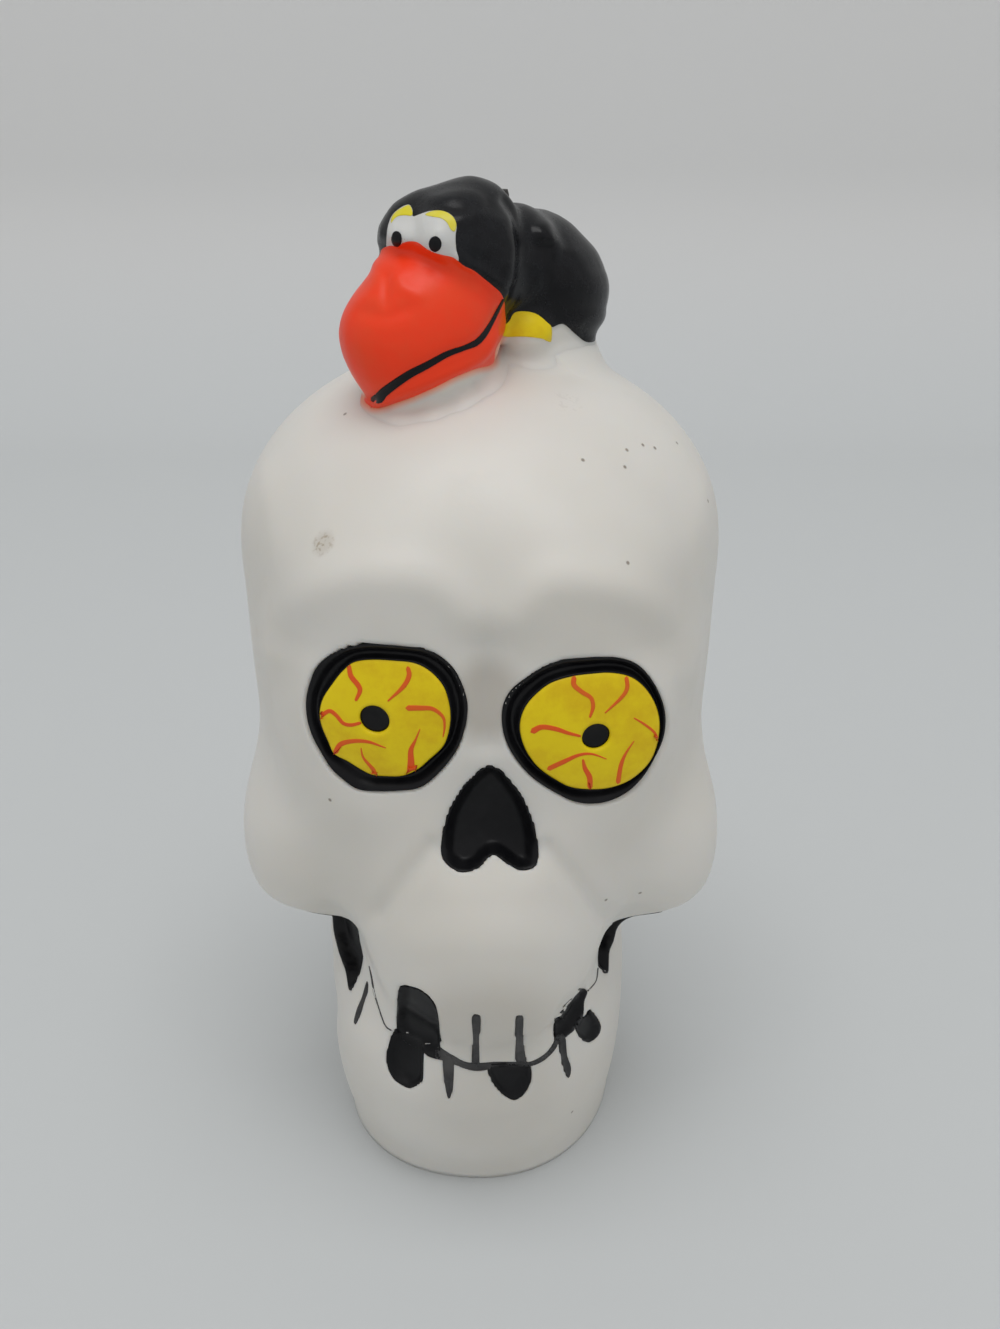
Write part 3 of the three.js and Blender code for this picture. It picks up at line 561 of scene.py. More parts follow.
# %% Borders of the paint round each eye, in picture points
eye_marks = {
    "left": {
        "outer": [
            (380, 645), (405, 647), (430, 653), (449, 668), (460, 687), (466, 710), (463, 733),
            (455, 753), (439, 773), (420, 788), (398, 791.5), (377, 792), (357, 790), (342, 780.5),
            (330, 770), (320, 755), (310.5, 739), (304.5, 721), (303.5, 702), (308, 684), (314, 671),
            (327, 658.5), (345, 649.5), (361, 645.5),
        ],
        "inner": [
            (353, 663.5), (371, 661), (393, 662), (414, 664.5), (430, 673), (442.5, 687), (448, 702.5),
            (450, 718), (448, 734), (442.5, 748), (430, 760), (417, 771), (402, 777.5), (386, 778),
            (371, 776.5), (358, 770), (346, 762.5), (333, 755.5), (327, 743), (320.5, 727.5),
            (318.5, 713.5), (322, 699.5), (331.5, 685), (341, 673),
        ],
        "pupil": (375.6, 717.5), "pupil_radius": 15,
    },
    "right": {
        "outer": [
            (583, 659.5), (605, 658.5), (624, 661), (639.5, 668), (652, 680.5), (663, 699.5),
            (669, 721), (667.5, 743), (658, 762), (645.5, 780.5), (630, 794.5), (611, 803),
            (592.5, 805.5), (574, 802.5), (558, 794.5), (542.5, 785.5), (530, 776), (517.5, 762),
            (508, 746), (503.5, 727.5), (505, 709), (513, 693), (527, 680.5), (545.5, 668),
            (564.5, 661),
        ],
        "inner": [
            (573.5, 677.5), (592.5, 675), (611, 674), (630, 677.5), (644, 687), (655, 702.5),
            (660.5, 721), (659.5, 740), (653.5, 759), (642.5, 773), (627, 784), (608, 790),
            (589.5, 791), (570.5, 788.5), (555, 780.5), (539.5, 769.5), (528.5, 755.5), (522, 740),
            (520.5, 724.5), (525.5, 709), (536, 696), (552, 684),
        ],
        "pupil": (595, 734.5), "pupil_radius": 14,
    },
}

# %% The plane of an eye, and what lies on it
eye_shape = {
    "dome": 1.3 * mm, "edge": 0.35 * mm, "moat": 1.5 * mm, "lip": 0.12 * mm, "wall": 1.7 * mm,
    "pocket": 3.2 * mm, "pupil_sink": 0.75 * mm, "pupil_dish": 0.3 * mm, "spokes": 120,
    "bevel": 0.2 * mm, "bevel_share": 0.02, "above": 10 * mm,
}


class EyePlane:
    """The plane that a round CAD piece lies in: its middle, and the ways across, up and out."""

    def __init__(self, node):
        corners = np.array([vertex.co for vertex in nodes[node].data.vertices])
        middle = corners.mean(axis=0)
        # The corners of a flat round piece spread least along the way out.
        self.out = Vector(np.linalg.eigh(np.cov((corners - middle).T))[1][:, 0])
        if self.out.y > 0:
            self.out = -self.out
        self.across = Vector((0, 0, 1)).cross(self.out).normalized()
        if self.across.x < 0:
            self.across = -self.across
        self.up = Vector((0, 0, 1)) - self.out * self.out.z
        self.up.normalize()
        heights = (corners - middle) @ np.array(self.out)
        self.middle = Vector(middle) + self.out * heights.max()

    def from_picture(self, pixels):
        """Picture points as (across, up) on this plane."""
        found = []
        for pixel in pixels:
            start, way = photo.line(pixel)
            distance = (self.middle - start).dot(self.out) / way.dot(self.out)
            place = start + way * distance - self.middle
            found.append((place.dot(self.across), place.dot(self.up)))
        return np.array(found)

    def at(self, across, up, out):
        return self.middle + self.across * across + self.up * up + self.out * out


def spokes(loop, centre):
    """A function that gives the loop's radius round a centre, for any angle."""
    offset = loop - np.array(centre)
    angle = np.arctan2(offset[:, 1], offset[:, 0])
    radius = np.hypot(offset[:, 0], offset[:, 1])
    order = np.argsort(angle)
    return lambda turn: np.interp(turn, angle[order], radius[order], period=tau)


def spun_profile(profile, steps):
    """A closed profile of (radius, height) points, spun a full turn round Z."""
    bm = bmesh.new()
    corners = [bm.verts.new((radius, 0, height)) for radius, height in profile]
    for a, b in zip(corners, corners[1:] + corners[:1]):
        if a.co.x or b.co.x:
            bm.edges.new((a, b))
    bmesh.ops.spin(
        bm, geom=bm.verts[:] + bm.edges[:], cent=(0, 0, 0), axis=(0, 0, 1), dvec=(0, 0, 0),
        angle=tau, steps=steps, use_merge=True,
    )
    bmesh.ops.remove_doubles(bm, verts=bm.verts, dist=weld)
    turn_out(bm)
    return bm


def between_borders(bm, centre, inner, outer):
    """Where a spun ring's vertices lie when radius 1 is the inner border and 2 the outer one."""
    local = places(bm)
    turn = np.arctan2(local[:, 1], local[:, 0])
    share = np.hypot(local[:, 0], local[:, 1]) - 1
    radius = inner(turn) * (1 - share) + outer(turn) * share
    across, up = centre[0] + radius * np.cos(turn), centre[1] + radius * np.sin(turn)
    return across, up, local[:, 2], turn, share


def lay_on(plane, bm, across, up, out):
    """Move the vertices to their places on an eye's plane."""
    put(bm, [plane.at(*place) for place in zip(across, up, out)])
    turn_out(bm)


# %% Make both eyes
moat_points, dome_points, pupil_points = 20, 22, 8
moat_section = [
    (0, 0), (0.07, 0.45), (0.16, 0.85), (0.28, 1), (0.4, 0.95), (0.52, 0.72), (0.64, 0.42), (0.75, 0.2),
    (0.86, 0.06), (1, 0),
]
eye_pieces, eye_canvas = {}, {}
for side, marks in eye_marks.items():
    plane = EyePlane(f"eye_ring_{side}")
    outer = plane.from_picture(smooth_loop(marks["outer"]))
    inner = plane.from_picture(smooth_loop(marks["inner"]))
    middle = inner.mean(axis=0)
    outer_radius, inner_radius = spokes(outer, middle), spokes(inner, middle)

    def dome_height(across, up, middle=middle, border=inner_radius):
        turn = np.arctan2(up - middle[1], across - middle[0])
        share = np.hypot(across - middle[0], up - middle[1]) / border(turn)
        return eye_shape["dome"] * (1 - share**2) - eye_shape["edge"]

    # The black ring: out of the dome's edge, down into the moat and up to the broad lip on the wax.
    shares = np.arange(moat_points + 1) / moat_points
    dip = np.interp(shares, *zip(*moat_section))
    top = [(1 + t, -eye_shape["moat"] * d) for t, d in zip(shares, dip)]
    walls = [(2, -eye_shape["wall"]), (1, -2 * eye_shape["wall"])]
    ring_bm = spun_profile(top + walls, eye_shape["spokes"])
    across, up, height, turn, share = between_borders(ring_bm, middle, inner_radius, outer_radius)
    far = outer_radius(turn)
    rim = np.array([
        eye_shape["above"] - plain_canvas.ray_cast(plane.at(a, u, eye_shape["above"]), -plane.out)[3]
        for a, u in zip(middle[0] + far * np.cos(turn), middle[1] + far * np.sin(turn))
    ])
    sunk_edge = (1 - share) * (eye_shape["edge"] + eye_shape["lip"])
    lay_on(plane, ring_bm, across, up, height + share * (rim + eye_shape["lip"]) - sunk_edge)
    eye_pieces[f"eye_ring_{side}"] = make_piece(f"eye_moat_{side}", ring_bm)

    # The yellow dome, spun round its pupil.
    pupil = plane.from_picture([marks["pupil"]])[0]
    beside = plane.from_picture([(marks["pupil"][0] + marks["pupil_radius"], marks["pupil"][1])])[0]
    pupil_radius = np.linalg.norm(beside - pupil)
    shares = np.arange(dome_points + 1) / dome_points
    sharpness = eye_shape["bevel_share"]
    rounding = -eye_shape["bevel"] * (np.exp(-shares / sharpness) + np.exp((shares - 1) / sharpness))
    top = [(1 + t, d) for t, d in zip(shares, rounding)]
    walls = [(2, -eye_shape["wall"]), (1, -eye_shape["wall"])]
    dome_bm = spun_profile(top + walls, eye_shape["spokes"])
    across, up, height, *_ = between_borders(
        dome_bm, pupil, lambda turn, radius=pupil_radius: radius, spokes(inner, pupil),
    )
    lay_on(plane, dome_bm, across, up, height + dome_height(across, up))
    eye_canvas[side] = BVHTree.FromBMesh(dome_bm)
    eye_pieces[f"eyeball_{side}"] = make_piece(f"eye_dome_{side}", dome_bm)

    # The pupil: a dished black disc, sunk in the dome.
    level = dome_height(*pupil) - eye_shape["pupil_sink"]
    shares = np.arange(pupil_points + 1) / pupil_points
    top = [(t * pupil_radius, level - eye_shape["pupil_dish"] * (1 - t**2)) for t in shares]
    walls = [(pupil_radius, level - eye_shape["wall"]), (0, level - eye_shape["wall"])]
    pupil_bm = spun_profile(top + walls, eye_shape["spokes"] // 2)
    lay_on(plane, pupil_bm, *(places(pupil_bm) + [*pupil, 0]).T)
    eye_pieces[f"pupil_{side}"] = make_piece(f"eye_pupil_{side}", pupil_bm)

# %% Press pockets in the wax for the eyes
pocket_wall = (-0.5, 4)
press(skin_bm, [
    (marks["outer"], photo, eye_shape["pocket"], pocket_wall) for marks in eye_marks.values()
])
print("pockets:", len(eye_marks))

# %% [markdown]
# ## The flat foot of the candle
# The sphere's lowest point closes the foot with a fan of triangles. It is cut away, and the rim is
# bridged to a circle round the base plug, so that the plug sits in its own round recess.

# %% Open the foot round the base plug
plug_low, plug_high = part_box("base_plug")
plug_middle = (plug_low + plug_high) / 2
plug_clearance = 0.3 * mm
plug_radius = (plug_high.x - plug_low.x) / 2 + plug_clearance
recess = plug_high.z + plug_clearance
pole = [vertex for vertex in skin_bm.verts if vertex.co.length < weld]
bmesh.ops.delete(skin_bm, geom=pole, context="VERTS")
rim_edges = [edge for edge in skin_bm.edges if edge.is_boundary]
circle = bmesh.ops.create_circle(
    skin_bm, cap_ends=False, segments=column_count, radius=plug_radius,
)["verts"]
bmesh.ops.translate(skin_bm, verts=circle, vec=(plug_middle.x, plug_middle.y, 0))
circle_edges = list(dict.fromkeys(edge for vertex in circle for edge in vertex.link_edges))
bmesh.ops.bridge_loops(skin_bm, edges=rim_edges + circle_edges)
risen = bmesh.ops.extrude_edge_only(skin_bm, edges=circle_edges)["geom"]
bmesh.ops.translate(skin_bm, verts=only(BMVert, risen), vec=(0, 0, recess))
bmesh.ops.contextual_create(skin_bm, geom=only(BMEdge, risen))
turn_out(skin_bm)
canvas = BVHTree.FromBMesh(skin_bm)
print("recess for the plug:", round(recess / mm, 1), "mm deep")

# %% [markdown]
# ## Skins of paint
# A brush leaves a thin skin of paint with a soft edge. Its outline is filled with one face, which planes
# cut into small cells. Each cell's corners then go along their lines of sight to the wax, and the skin
# gets a little thickness, most of it sunk in the wax, so that no light shows under its edge.

# %% Lay a skin of paint on a surface
paint = {
    "proud": 0.06 * mm, "thickness": 0.3 * mm, "cell": 2.2, "farthest": 12 * mm, "steep": 0.3,
    "fewest_corners": 8, "fewest_cuts": 2,
}


def even_loop(curve, step):
    """The same closed curve with even steps."""
    closed = np.concatenate([curve, curve[:1]])
    gone = np.concatenate([[0], np.cumsum(np.linalg.norm(np.diff(closed, axis=0), axis=1))])
    count = max(int(gone[-1] / step), paint["fewest_corners"])
    at = np.arange(count) / count * gone[-1]
    return np.stack([np.interp(at, gone, closed[:, 0]), np.interp(at, gone, closed[:, 1])], axis=1)


def thicken(bm, thickness):
    """A wall inwards from a sheet. Solidify would throw long spikes at the smallest corners."""
    bm.normal_update()
    grown = bmesh.ops.extrude_face_region(bm, geom=bm.faces[:])["geom"]
    bm.normal_update()
    for vertex in only(BMVert, grown):
        vertex.co -= vertex.normal * thickness
    turn_out(bm)


sheets, painted = {}, {}


def paint_skin(name, outline, target, view=photo, cell=paint["cell"], proud=paint["proud"]):
    loop = even_loop(outline, cell)
    bm = bmesh.new()
    bm.faces.new([bm.verts.new((x, y, 0)) for x, y in loop])
    for axis in (0, 1):
        low, high = loop[:, axis].min(), loop[:, axis].max()
        cuts = max(int((high - low) / cell), paint["fewest_cuts"])
        for k in range(1, cuts):
            spot, way = Vector((0, 0, 0)), Vector((0, 0, 0))
            spot[axis] = low + (high - low) * k / cuts
            way[axis] = 1
            everything = bm.verts[:] + bm.edges[:] + bm.faces[:]
            bmesh.ops.bisect_plane(bm, geom=everything, plane_co=spot, plane_no=way)
    hits = [target.ray_cast(*view.line(vertex.co)) for vertex in bm.verts]
    usual = float(np.median([hit[3] for hit in hits if hit[0]]))
    for vertex, (spot, normal, _, distance) in zip(bm.verts, hits):
        start, way = view.line(vertex.co)
        if spot is None or abs(distance - usual) > paint["farthest"]:
            spot, normal, _, _ = target.find_nearest(start + way * usual)
        if -normal.dot(way) < paint["steep"]:
            normal = -way
        vertex.co = spot + normal * proud
    turn_out(bm)
    bm.normal_update()
    sight = view.line(loop.mean(axis=0))[1]
    if sum(face.normal.dot(sight) * face.calc_area() for face in bm.faces) > 0:
        bmesh.ops.reverse_faces(bm, faces=bm.faces)
    soften(bm, 1, [vertex for vertex in bm.verts if not vertex.is_boundary])
    sheets[name] = BVHTree.FromBMesh(bm)
    thicken(bm, paint["thickness"])
    return make_piece(name, bm)


def paint_node(node, outline, target, **how):
    painted[node] = paint_skin(f"paint_{node}", outline, target, **how)


side_cell = 0.4
for name, outline in outlines.items():
    paint_node(name, smooth_loop(outline), canvas)
for name, outline in side_outlines.items():
    paint_node(name, smooth_loop(outline), canvas, view=side_views[name], cell=side_cell)

# %% [markdown]
# Where a hollow is steep, the wax could show through the thin skin between two of its cells. So every
# vertex of the wax that lies under a skin of paint sinks a little way behind it, and only then the wax
# becomes the skull's piece. A vertex beside the paint is not under it, and stays.

# %% Sink the wax behind the paint
behind = {"gap": 0.28 * mm, "search": 0.7 * mm, "upright": 0.8}


def sink_behind(bm, sheet, outline, view):
    inside = is_inside(view.flat(places(bm)), smooth_loop(outline))
    moved = 0
    for vertex in [vertex for vertex, under in zip(bm.verts, inside) if under]:
        spot, normal, _, distance = sheet.find_nearest(vertex.co, behind["search"])
        if spot is None:
            continue
        height = (vertex.co - spot).dot(normal)
        if height > -behind["gap"] and abs(height) >= behind["upright"] * distance:
            vertex.co -= normal * (height + behind["gap"])
            moved += 1
    return moved


# Where two skins of paint overlap, sinking behind one can lift a vertex above the other: so, twice.
skull_outlines = {**outlines, **side_outlines}
for _ in range(2):
    moved = [
        sink_behind(skin_bm, sheets[piece.name], skull_outlines[node], side_views.get(node, photo))
        for node, piece in painted.items()
    ]
    print("sunk vertices:", sum(moved))
skull = make_piece("skull_skin", skin_bm)

# %% [markdown]
# ## The veins
# Each vein is one stroke of a thin brush, wide where it starts and pointed where it lifts off. A stroke
# is a line of picture points with a width at each, and its outline is that line moved to both sides. The
# two thin lines along the edge of the upper jaw are such strokes too.

# %% Veins on the yellow domes, and the lines of the jaw
vein_strokes = {
    "left": [
        ([(349, 666), (351, 676), (358, 685), (360, 691), (356, 700)], (4, 5, 5, 4.5, 3)),
        ([(408, 668), (409, 676), (403, 687), (388, 701)], (4, 5, 4.5, 1.5)),
        ([(408, 708), (421, 708), (433, 709), (443, 717), (444.5, 727), (443, 737)],
         (5.5, 5, 4, 3, 2.2, 1)),
        ([(320, 717), (329, 711), (336, 715), (343, 723), (351, 725), (360, 723)],
         (4, 4, 3.6, 3.5, 3.5, 3)),
        ([(335.5, 752), (341, 744), (354, 741), (369, 742), (386, 748)], (5, 5, 4, 3, 0.8)),
        ([(361, 748), (363, 757), (369, 764.5), (374, 771), (373, 777)], (1, 2, 3, 4, 5)),
        ([(420, 729), (415.5, 740), (411, 750), (411, 761), (411, 774)], (0.8, 2.2, 5, 6.5, 8.5)),
    ],
    "right": [
        ([(574, 678), (574, 685), (582, 692), (591, 698), (593, 707), (590, 717)],
         (5, 5, 4.5, 4, 4, 2.2)),
        ([(626.5, 678), (627, 688.5), (621, 698), (605, 713)], (4, 4, 3.5, 1.2)),
        ([(634, 718), (644, 724), (654, 732), (659, 741)], (1.2, 2.4, 2.6, 1.2)),
        ([(533, 731), (542, 727), (556, 729), (568, 733), (580, 736)], (6, 5, 4.5, 3.5, 2.4)),
        ([(549, 768.5), (563, 762), (579, 755), (592, 754), (606.5, 759)], (4.5, 4.5, 3, 2, 0.8)),
        ([(583, 760), (585, 768.5), (589.5, 777), (590, 787)], (2.2, 4.5, 5.5, 5)),
        ([(634, 741), (626, 753), (621, 765), (618, 782)], (0.8, 2.2, 4, 4.5)),
    ],
}


def stroke_outline(line, widths, per_span=6):
    """A closed outline round a line, as wide as the brush at each point."""
    curve = smooth_line(line, per_span=per_span)
    at = np.arange(len(curve)) / per_span
    half = np.interp(at, np.arange(len(widths)), widths) / 2
    way = np.gradient(curve, axis=0)
    way /= np.linalg.norm(way, axis=1)[:, None]
    beside = np.stack([way[:, 1], -way[:, 0]], axis=1) * half[:, None]
    start, end = curve[:1] - way[:1] * half[0], curve[-1:] + way[-1:] * half[-1]
    return np.concatenate([start, curve + beside, end, (curve - beside)[::-1]])


fine_lines = {
    "jaw_edge_left": ([(369, 966), (371.5, 977), (374, 992), (378.5, 1007), (385, 1025), (392, 1031)],
                      (0.8, 1.6, 1.8, 1.2, 1.2, 1.4)),
    "jaw_edge_right": ([(598, 968), (596, 981), (588, 991)], (1.2, 0.9, 1.2)),
}
vein_cell = 1.1
edge_proud, vein_proud = 0.03 * mm, 0.05 * mm
edge_lines = [
    paint_skin(name, stroke_outline(*stroke), canvas, cell=vein_cell, proud=edge_proud)
    for name, stroke in fine_lines.items()
]
veins = [
    paint_skin(
        f"vein_{side}_{number}", stroke_outline(*stroke), eye_canvas[side],
        cell=vein_cell, proud=vein_proud,
    )
    for side, strokes in vein_strokes.items()
    for number, stroke in enumerate(strokes, 1)
]
print("veins:", len(veins))

# %% [markdown]
# ## The crow
# The crow was cast in one with the skull and then painted: one smooth skin of wax runs from the dome up
# over beak, head and back, and each colour is a layer on it. The CAD pieces of the crow and the top of
# the skull are joined, a voxel remesh makes one skin of them, and smoothing turns every inner corner into
# the soft fillet that melted wax has. Balls pushed into each other would keep hard creases.

# %% Fuse the crow with the top of the skull
crow_nodes = [name for name in nodes if name.startswith(("bird", "beak"))]
crow = {
    "origin": Vector((4, 6, 147)) * mm, "turn": math.radians(48), "cap_from": 136 * mm,
    "swell": 0.35 * mm, "lump_cuts": 4, "voxel": 0.45 * mm, "rounds": 26, "shrink": 0.2 * mm,
    "fillet_rounds": 60, "fillet_height": 2.6 * mm, "fillet_reach": 4 * mm, "fillet_until": 3 * mm,
    "last_rounds": 3,
}
crow_ahead = Vector((-math.sin(crow["turn"]), -math.cos(crow["turn"]), 0))
crow_left = Vector((math.cos(crow["turn"]), -math.sin(crow["turn"]), 0))
# Soft lumps that join the CAD pieces: how far ahead, left and up, and their half-sizes, in mm.
crow_lumps = {"nape": ((-2, 0, 13.5), (9, 8.5, 10)), "shoulder": ((-6, 0, 12.5), (9, 8.5, 9.6)),
              "beak_root": ((12.5, 0, 12.5), (9.2, 9, 8.2)), "tail": ((-12.5, 3, 5.5), (6.5, 5.5, 5.5))}


def crow_place(forward, left, up):
    return crow["origin"] + (crow_ahead * forward + crow_left * left + Vector((0, 0, up))) * mm


def crow_solids():
    """The crow's CAD pieces and lumps, swollen so that the slits between the pieces close."""
    bm = joined_copy(crow_nodes)
    bm.normal_update()
    put(bm, places(bm) + normals(bm) * crow["swell"])
    turned = Matrix.Rotation(math.atan2(crow_ahead.y, crow_ahead.x), 4, "Z")
    for place, half_sizes in crow_lumps.values():
        shape = Matrix.Translation(crow_place(*place)) @ turned @ Matrix.Diagonal((*half_sizes, 1))
        bmesh.ops.create_icosphere(bm, subdivisions=crow["lump_cuts"], radius=mm, matrix=shape)
    return bm


def remeshed(bm, voxel):
    rough = make_piece("rough_copy", bm)
    remesh = rough.modifiers.new("voxels", "REMESH")
    remesh.mode = "VOXEL"
    remesh.voxel_size = voxel
    fine = bmesh.new()
    fine.from_object(rough, bpy.context.evaluated_depsgraph_get())
    bpy.data.objects.remove(rough)
    return fine


crow_alone = crow_solids()
crow_tree = BVHTree.FromBMesh(crow_alone)
crow_mesh = bpy.data.meshes.new("crow_solids")
crow_alone.to_mesh(crow_mesh)
crow_alone.free()

lump = bmesh.new()
lump.from_mesh(skull.data)
bmesh.ops.bisect_plane(
    lump, geom=lump.verts[:] + lump.edges[:] + lump.faces[:],
    plane_co=(0, 0, crow["cap_from"]), plane_no=(0, 0, 1), clear_inner=True,
)
bmesh.ops.contextual_create(lump, geom=[edge for edge in lump.edges if edge.is_boundary])
lump.from_mesh(crow_mesh)
wax = remeshed(lump, crow["voxel"])


def gaps_to(tree, bm):
    return np.array([tree.find_nearest(vertex.co)[3] for vertex in bm.verts])


height, gap = gaps_to(canvas, wax), gaps_to(crow_tree, wax)
soften(wax, crow["rounds"])
fillet = [
    vertex for vertex, high, far in zip(wax.verts, height, gap)
    if high < crow["fillet_height"] and far < crow["fillet_reach"]
    and (vertex.co - crow["origin"]).dot(crow_ahead) < crow["fillet_until"]
]
soften(wax, crow["fillet_rounds"], fillet)
wax.normal_update()
bulk = soft_step(height / crow["fillet_height"] - 1)
put(wax, places(wax) - normals(wax) * (bulk * crow["shrink"])[:, None])
print("fused wax:", len(wax.verts), "vertices,", len(fillet), "in the fillet")

# %% [markdown]
# The photograph shows where the crow's contour differs from the CAD lumps by a millimetre or so. A grab
# pulls everything near a picture point sideways, as fingers would pull warm wax, and clay strokes add the
# crest, the bulging eyes, the crease of the neck and the dents in the beak.

# %% Pull and stroke the crow into shape
crow_deepest = 40 * mm
crow_grabs = [((352, 325), 42, (-9, 0)), ((384, 235), 26, (-5, 0)), ((385, 258), 15, (-10, 0)),
              ((606, 300), 34, (-4, 0)), ((590, 230), 26, (-7, 9)), ((565, 213), 24, (0, 6)),
              ((606, 262), 20, (-6, 3))]
mound_grabs = [((400, 412), 14, (0, -6)), ((430, 406), 14, (0, -8)), ((460, 395), 14, (0, -8)),
               ((486, 378), 14, (0, -8))]
# Where creases are melted away: the picture point, the radius and how many rounds.
crow_melted = [((386, 260), 17, 20), ((600, 330), 18, 25), ((553, 223), 14, 15), ((402, 408), 12, 20),
               ((430, 400), 12, 20), ((460, 388), 12, 20), ((484, 374), 12, 20), ((516, 236), 9, 8),
               ((519, 262), 9, 8)]
crow_strokes = {
    "neck crease": ([(505, 199), (516, 217), (521, 242), (521, 272), (516, 293), (508, 313)], 6, -0.6),
    "cheek": ([(500, 225), (506, 250), (503, 278)], 12, 0.6),
    "back bump": ([(543, 228), (544, 231)], 9, 1.0),
    "dip under the bump": ([(536, 246), (546, 248), (556, 243)], 5, -0.35),
    "crest ridge": ([(431, 199), (450, 195), (468, 194), (479, 200), (478, 216)], 6, 0.25),
    "crest hollow": ([(440, 207), (455, 208), (469, 208)], 9, -0.25),
    "lip over the beak": ([(459, 256), (466, 264), (480, 271), (492, 280), (505, 293)], 4, 0.6),
    "beak under the lip": ([(452, 262), (470, 275), (484, 285), (496, 296)], 4, -0.3),
    "left eye": ([(397, 234), (397, 238)], 9, 0.5),
    "right eye": ([(436, 237), (436, 241)], 10, 0.6),
    "between the eyes": ([(414, 222), (415, 240)], 6, -0.4),
    "beak dent": ([(387, 274), (387, 287), (386, 303)], 5, -0.35),
    "beak ridge left": ([(376, 278), (374, 290), (362, 305)], 7, 0.2),
    "beak ridge right": ([(395, 268), (400, 285), (418, 297)], 7, 0.3),
    "beak side dip": ([(365, 312), (385, 316), (405, 310)], 8, -0.3),
    "lower beak shelf": ([(380, 403), (407, 390), (440, 376), (480, 358), (496, 335)], 4, 0.5),
    "mouth groove": ([(372, 400), (388, 389), (408, 374.5), (428, 364), (447, 354), (463, 348),
                      (475, 342), (484, 334), (492, 321), (498, 309)], 4, -0.45),
}
for move in crow_grabs:
    grab(wax, *move, hold=bulk)
for move in mound_grabs:
    grab(wax, *move)
add_clay(wax, crow_strokes, photo, crow_deepest)
for spot, radius, rounds in crow_melted:
    gaps = gap_to_spot(places(wax), spot)
    soften(wax, rounds, [vertex for vertex, away in zip(wax.verts, gaps) if away < radius])
soften(wax, crow["last_rounds"])
wax.normal_update()
wax_tree = BVHTree.FromBMesh(wax)
print("grabs:", len(crow_grabs), "strokes:", len(crow_strokes))

# %% [markdown]
# ## Where each colour ends
# Each layer needs a number at every vertex of the wax: how far inside the painted border it lies, in
# pixels, and less than zero outside. Where the photograph shows the wax, the border was read off it. The
# crow's far side is hidden, so there the beak's border is the mirror image of the near one, and the
# black ends where the crow rises from the dome. The numbers are evened out a little, so that the two
# ways of finding them meet in one smooth line.

# %% Measure every vertex against the borders
beak_outline = [
    (340, 262), (377, 259), (381, 250), (391, 245), (398, 246.5), (403, 242), (412, 241), (420, 243),
    (425, 247), (432, 251), (440, 254), (448, 255.5), (456, 258), (463, 265), (473, 269.5),
    (483, 277.5), (493.5, 286), (502.5, 295.5), (504.7, 313), (504.7, 329.5), (499.6, 340),
    (494.5, 350), (493.5, 362), (487, 366), (475, 368.5), (455, 376.5), (430, 389), (406, 399),
    (379, 407.6), (369, 406), (361, 399), (361.5, 393), (355.5, 387), (347, 372), (334, 350),
    (325, 310),
]
plumage_outline = [
    (360, 262), (377, 263), (391, 250), (403, 247), (420, 248), (432, 256), (456, 263), (463, 270),
    (473, 274.5), (483, 282.5), (490, 291), (500, 300), (502, 313), (502.5, 325), (505, 325.5),
    (509, 322.5), (515, 314.5), (526, 313.3), (536, 316.3), (546.5, 324.5), (551.6, 327.6), (557, 325),
    (563, 323.5), (569, 328), (575, 333.7), (585, 342), (591.4, 348), (599, 347), (640, 330),
    (640, 180), (520, 150), (400, 150), (350, 200),
]
sight_lift, least_rise, wing_rise = 0.2 * mm, 0.2 * mm, 0.9 * mm
black_above, black_behind, beak_top = 8 * mm, 7 * mm, 15.5 * mm
under_beak = 4
even_rounds = 6
crow_nearness = 1.14
pixels_per_metre = picture["focal"] / viewpoint["distance"] * crow_nearness


def evened(bm, values, rounds):
    """Each vertex's number averaged with its neighbours'."""
    pairs = np.array([[vertex.index for vertex in edge.verts] for edge in bm.edges])
    count = np.bincount(pairs.ravel(), minlength=len(values))
    for _ in range(rounds):
        total = np.bincount(pairs[:, 0], values[pairs[:, 1]], len(values))
        total += np.bincount(pairs[:, 1], values[pairs[:, 0]], len(values))
        values = (values + total / count) / 2
    return values


points, ways = places(wax), normals(wax)
from_root = points - np.array(crow["origin"])
to_left = from_root @ np.array(crow_left)
mirrored = points - 2 * to_left[:, None] * np.array(crow_left)
toward = photo.toward(points)
open_view = np.array([
    wax_tree.ray_cast(Vector(point) + Vector(way) * sight_lift, Vector(view_way))[0] is None
    for point, way, view_way in zip(points, ways, toward)
])
in_sight = open_view & ((toward * ways).sum(axis=1) > seen_tilt)
flat = photo.flat(points)
spots = np.where((in_sight | (to_left > 0))[:, None], flat, photo.flat(mirrored))
rise = gaps_to(canvas, wax)
risen_pixels = (rise - least_rise) * pixels_per_metre
in_beak = depth_inside(spots, smooth_loop(beak_outline, per_span=4))
shown_beak = np.minimum(in_beak, risen_pixels)
below_brow = (beak_top - from_root[:, 2]) * pixels_per_metre
in_plumage = depth_inside(flat, smooth_loop(plumage_outline, per_span=4))
not_under_beak = np.maximum(
    from_root[:, 2] - black_above, black_behind - from_root @ np.array(crow_ahead),
)
hidden_plumage = np.minimum(rise - wing_rise, not_under_beak) * pixels_per_metre
borders = {
    "beak": (shown_beak, np.minimum(shown_beak, below_brow)),
    "plumage": (np.minimum(in_plumage, risen_pixels), np.minimum(hidden_plumage, under_beak - in_beak)),
}
for name, (shown, hidden) in borders.items():
    layer = wax.verts.layers.float.new(name)
    for vertex, value in zip(wax.verts, evened(wax, np.where(in_sight, shown, hidden), even_rounds)):
        vertex[layer] = value
print("vertices in sight:", int(in_sight.sum()), "of", len(points))

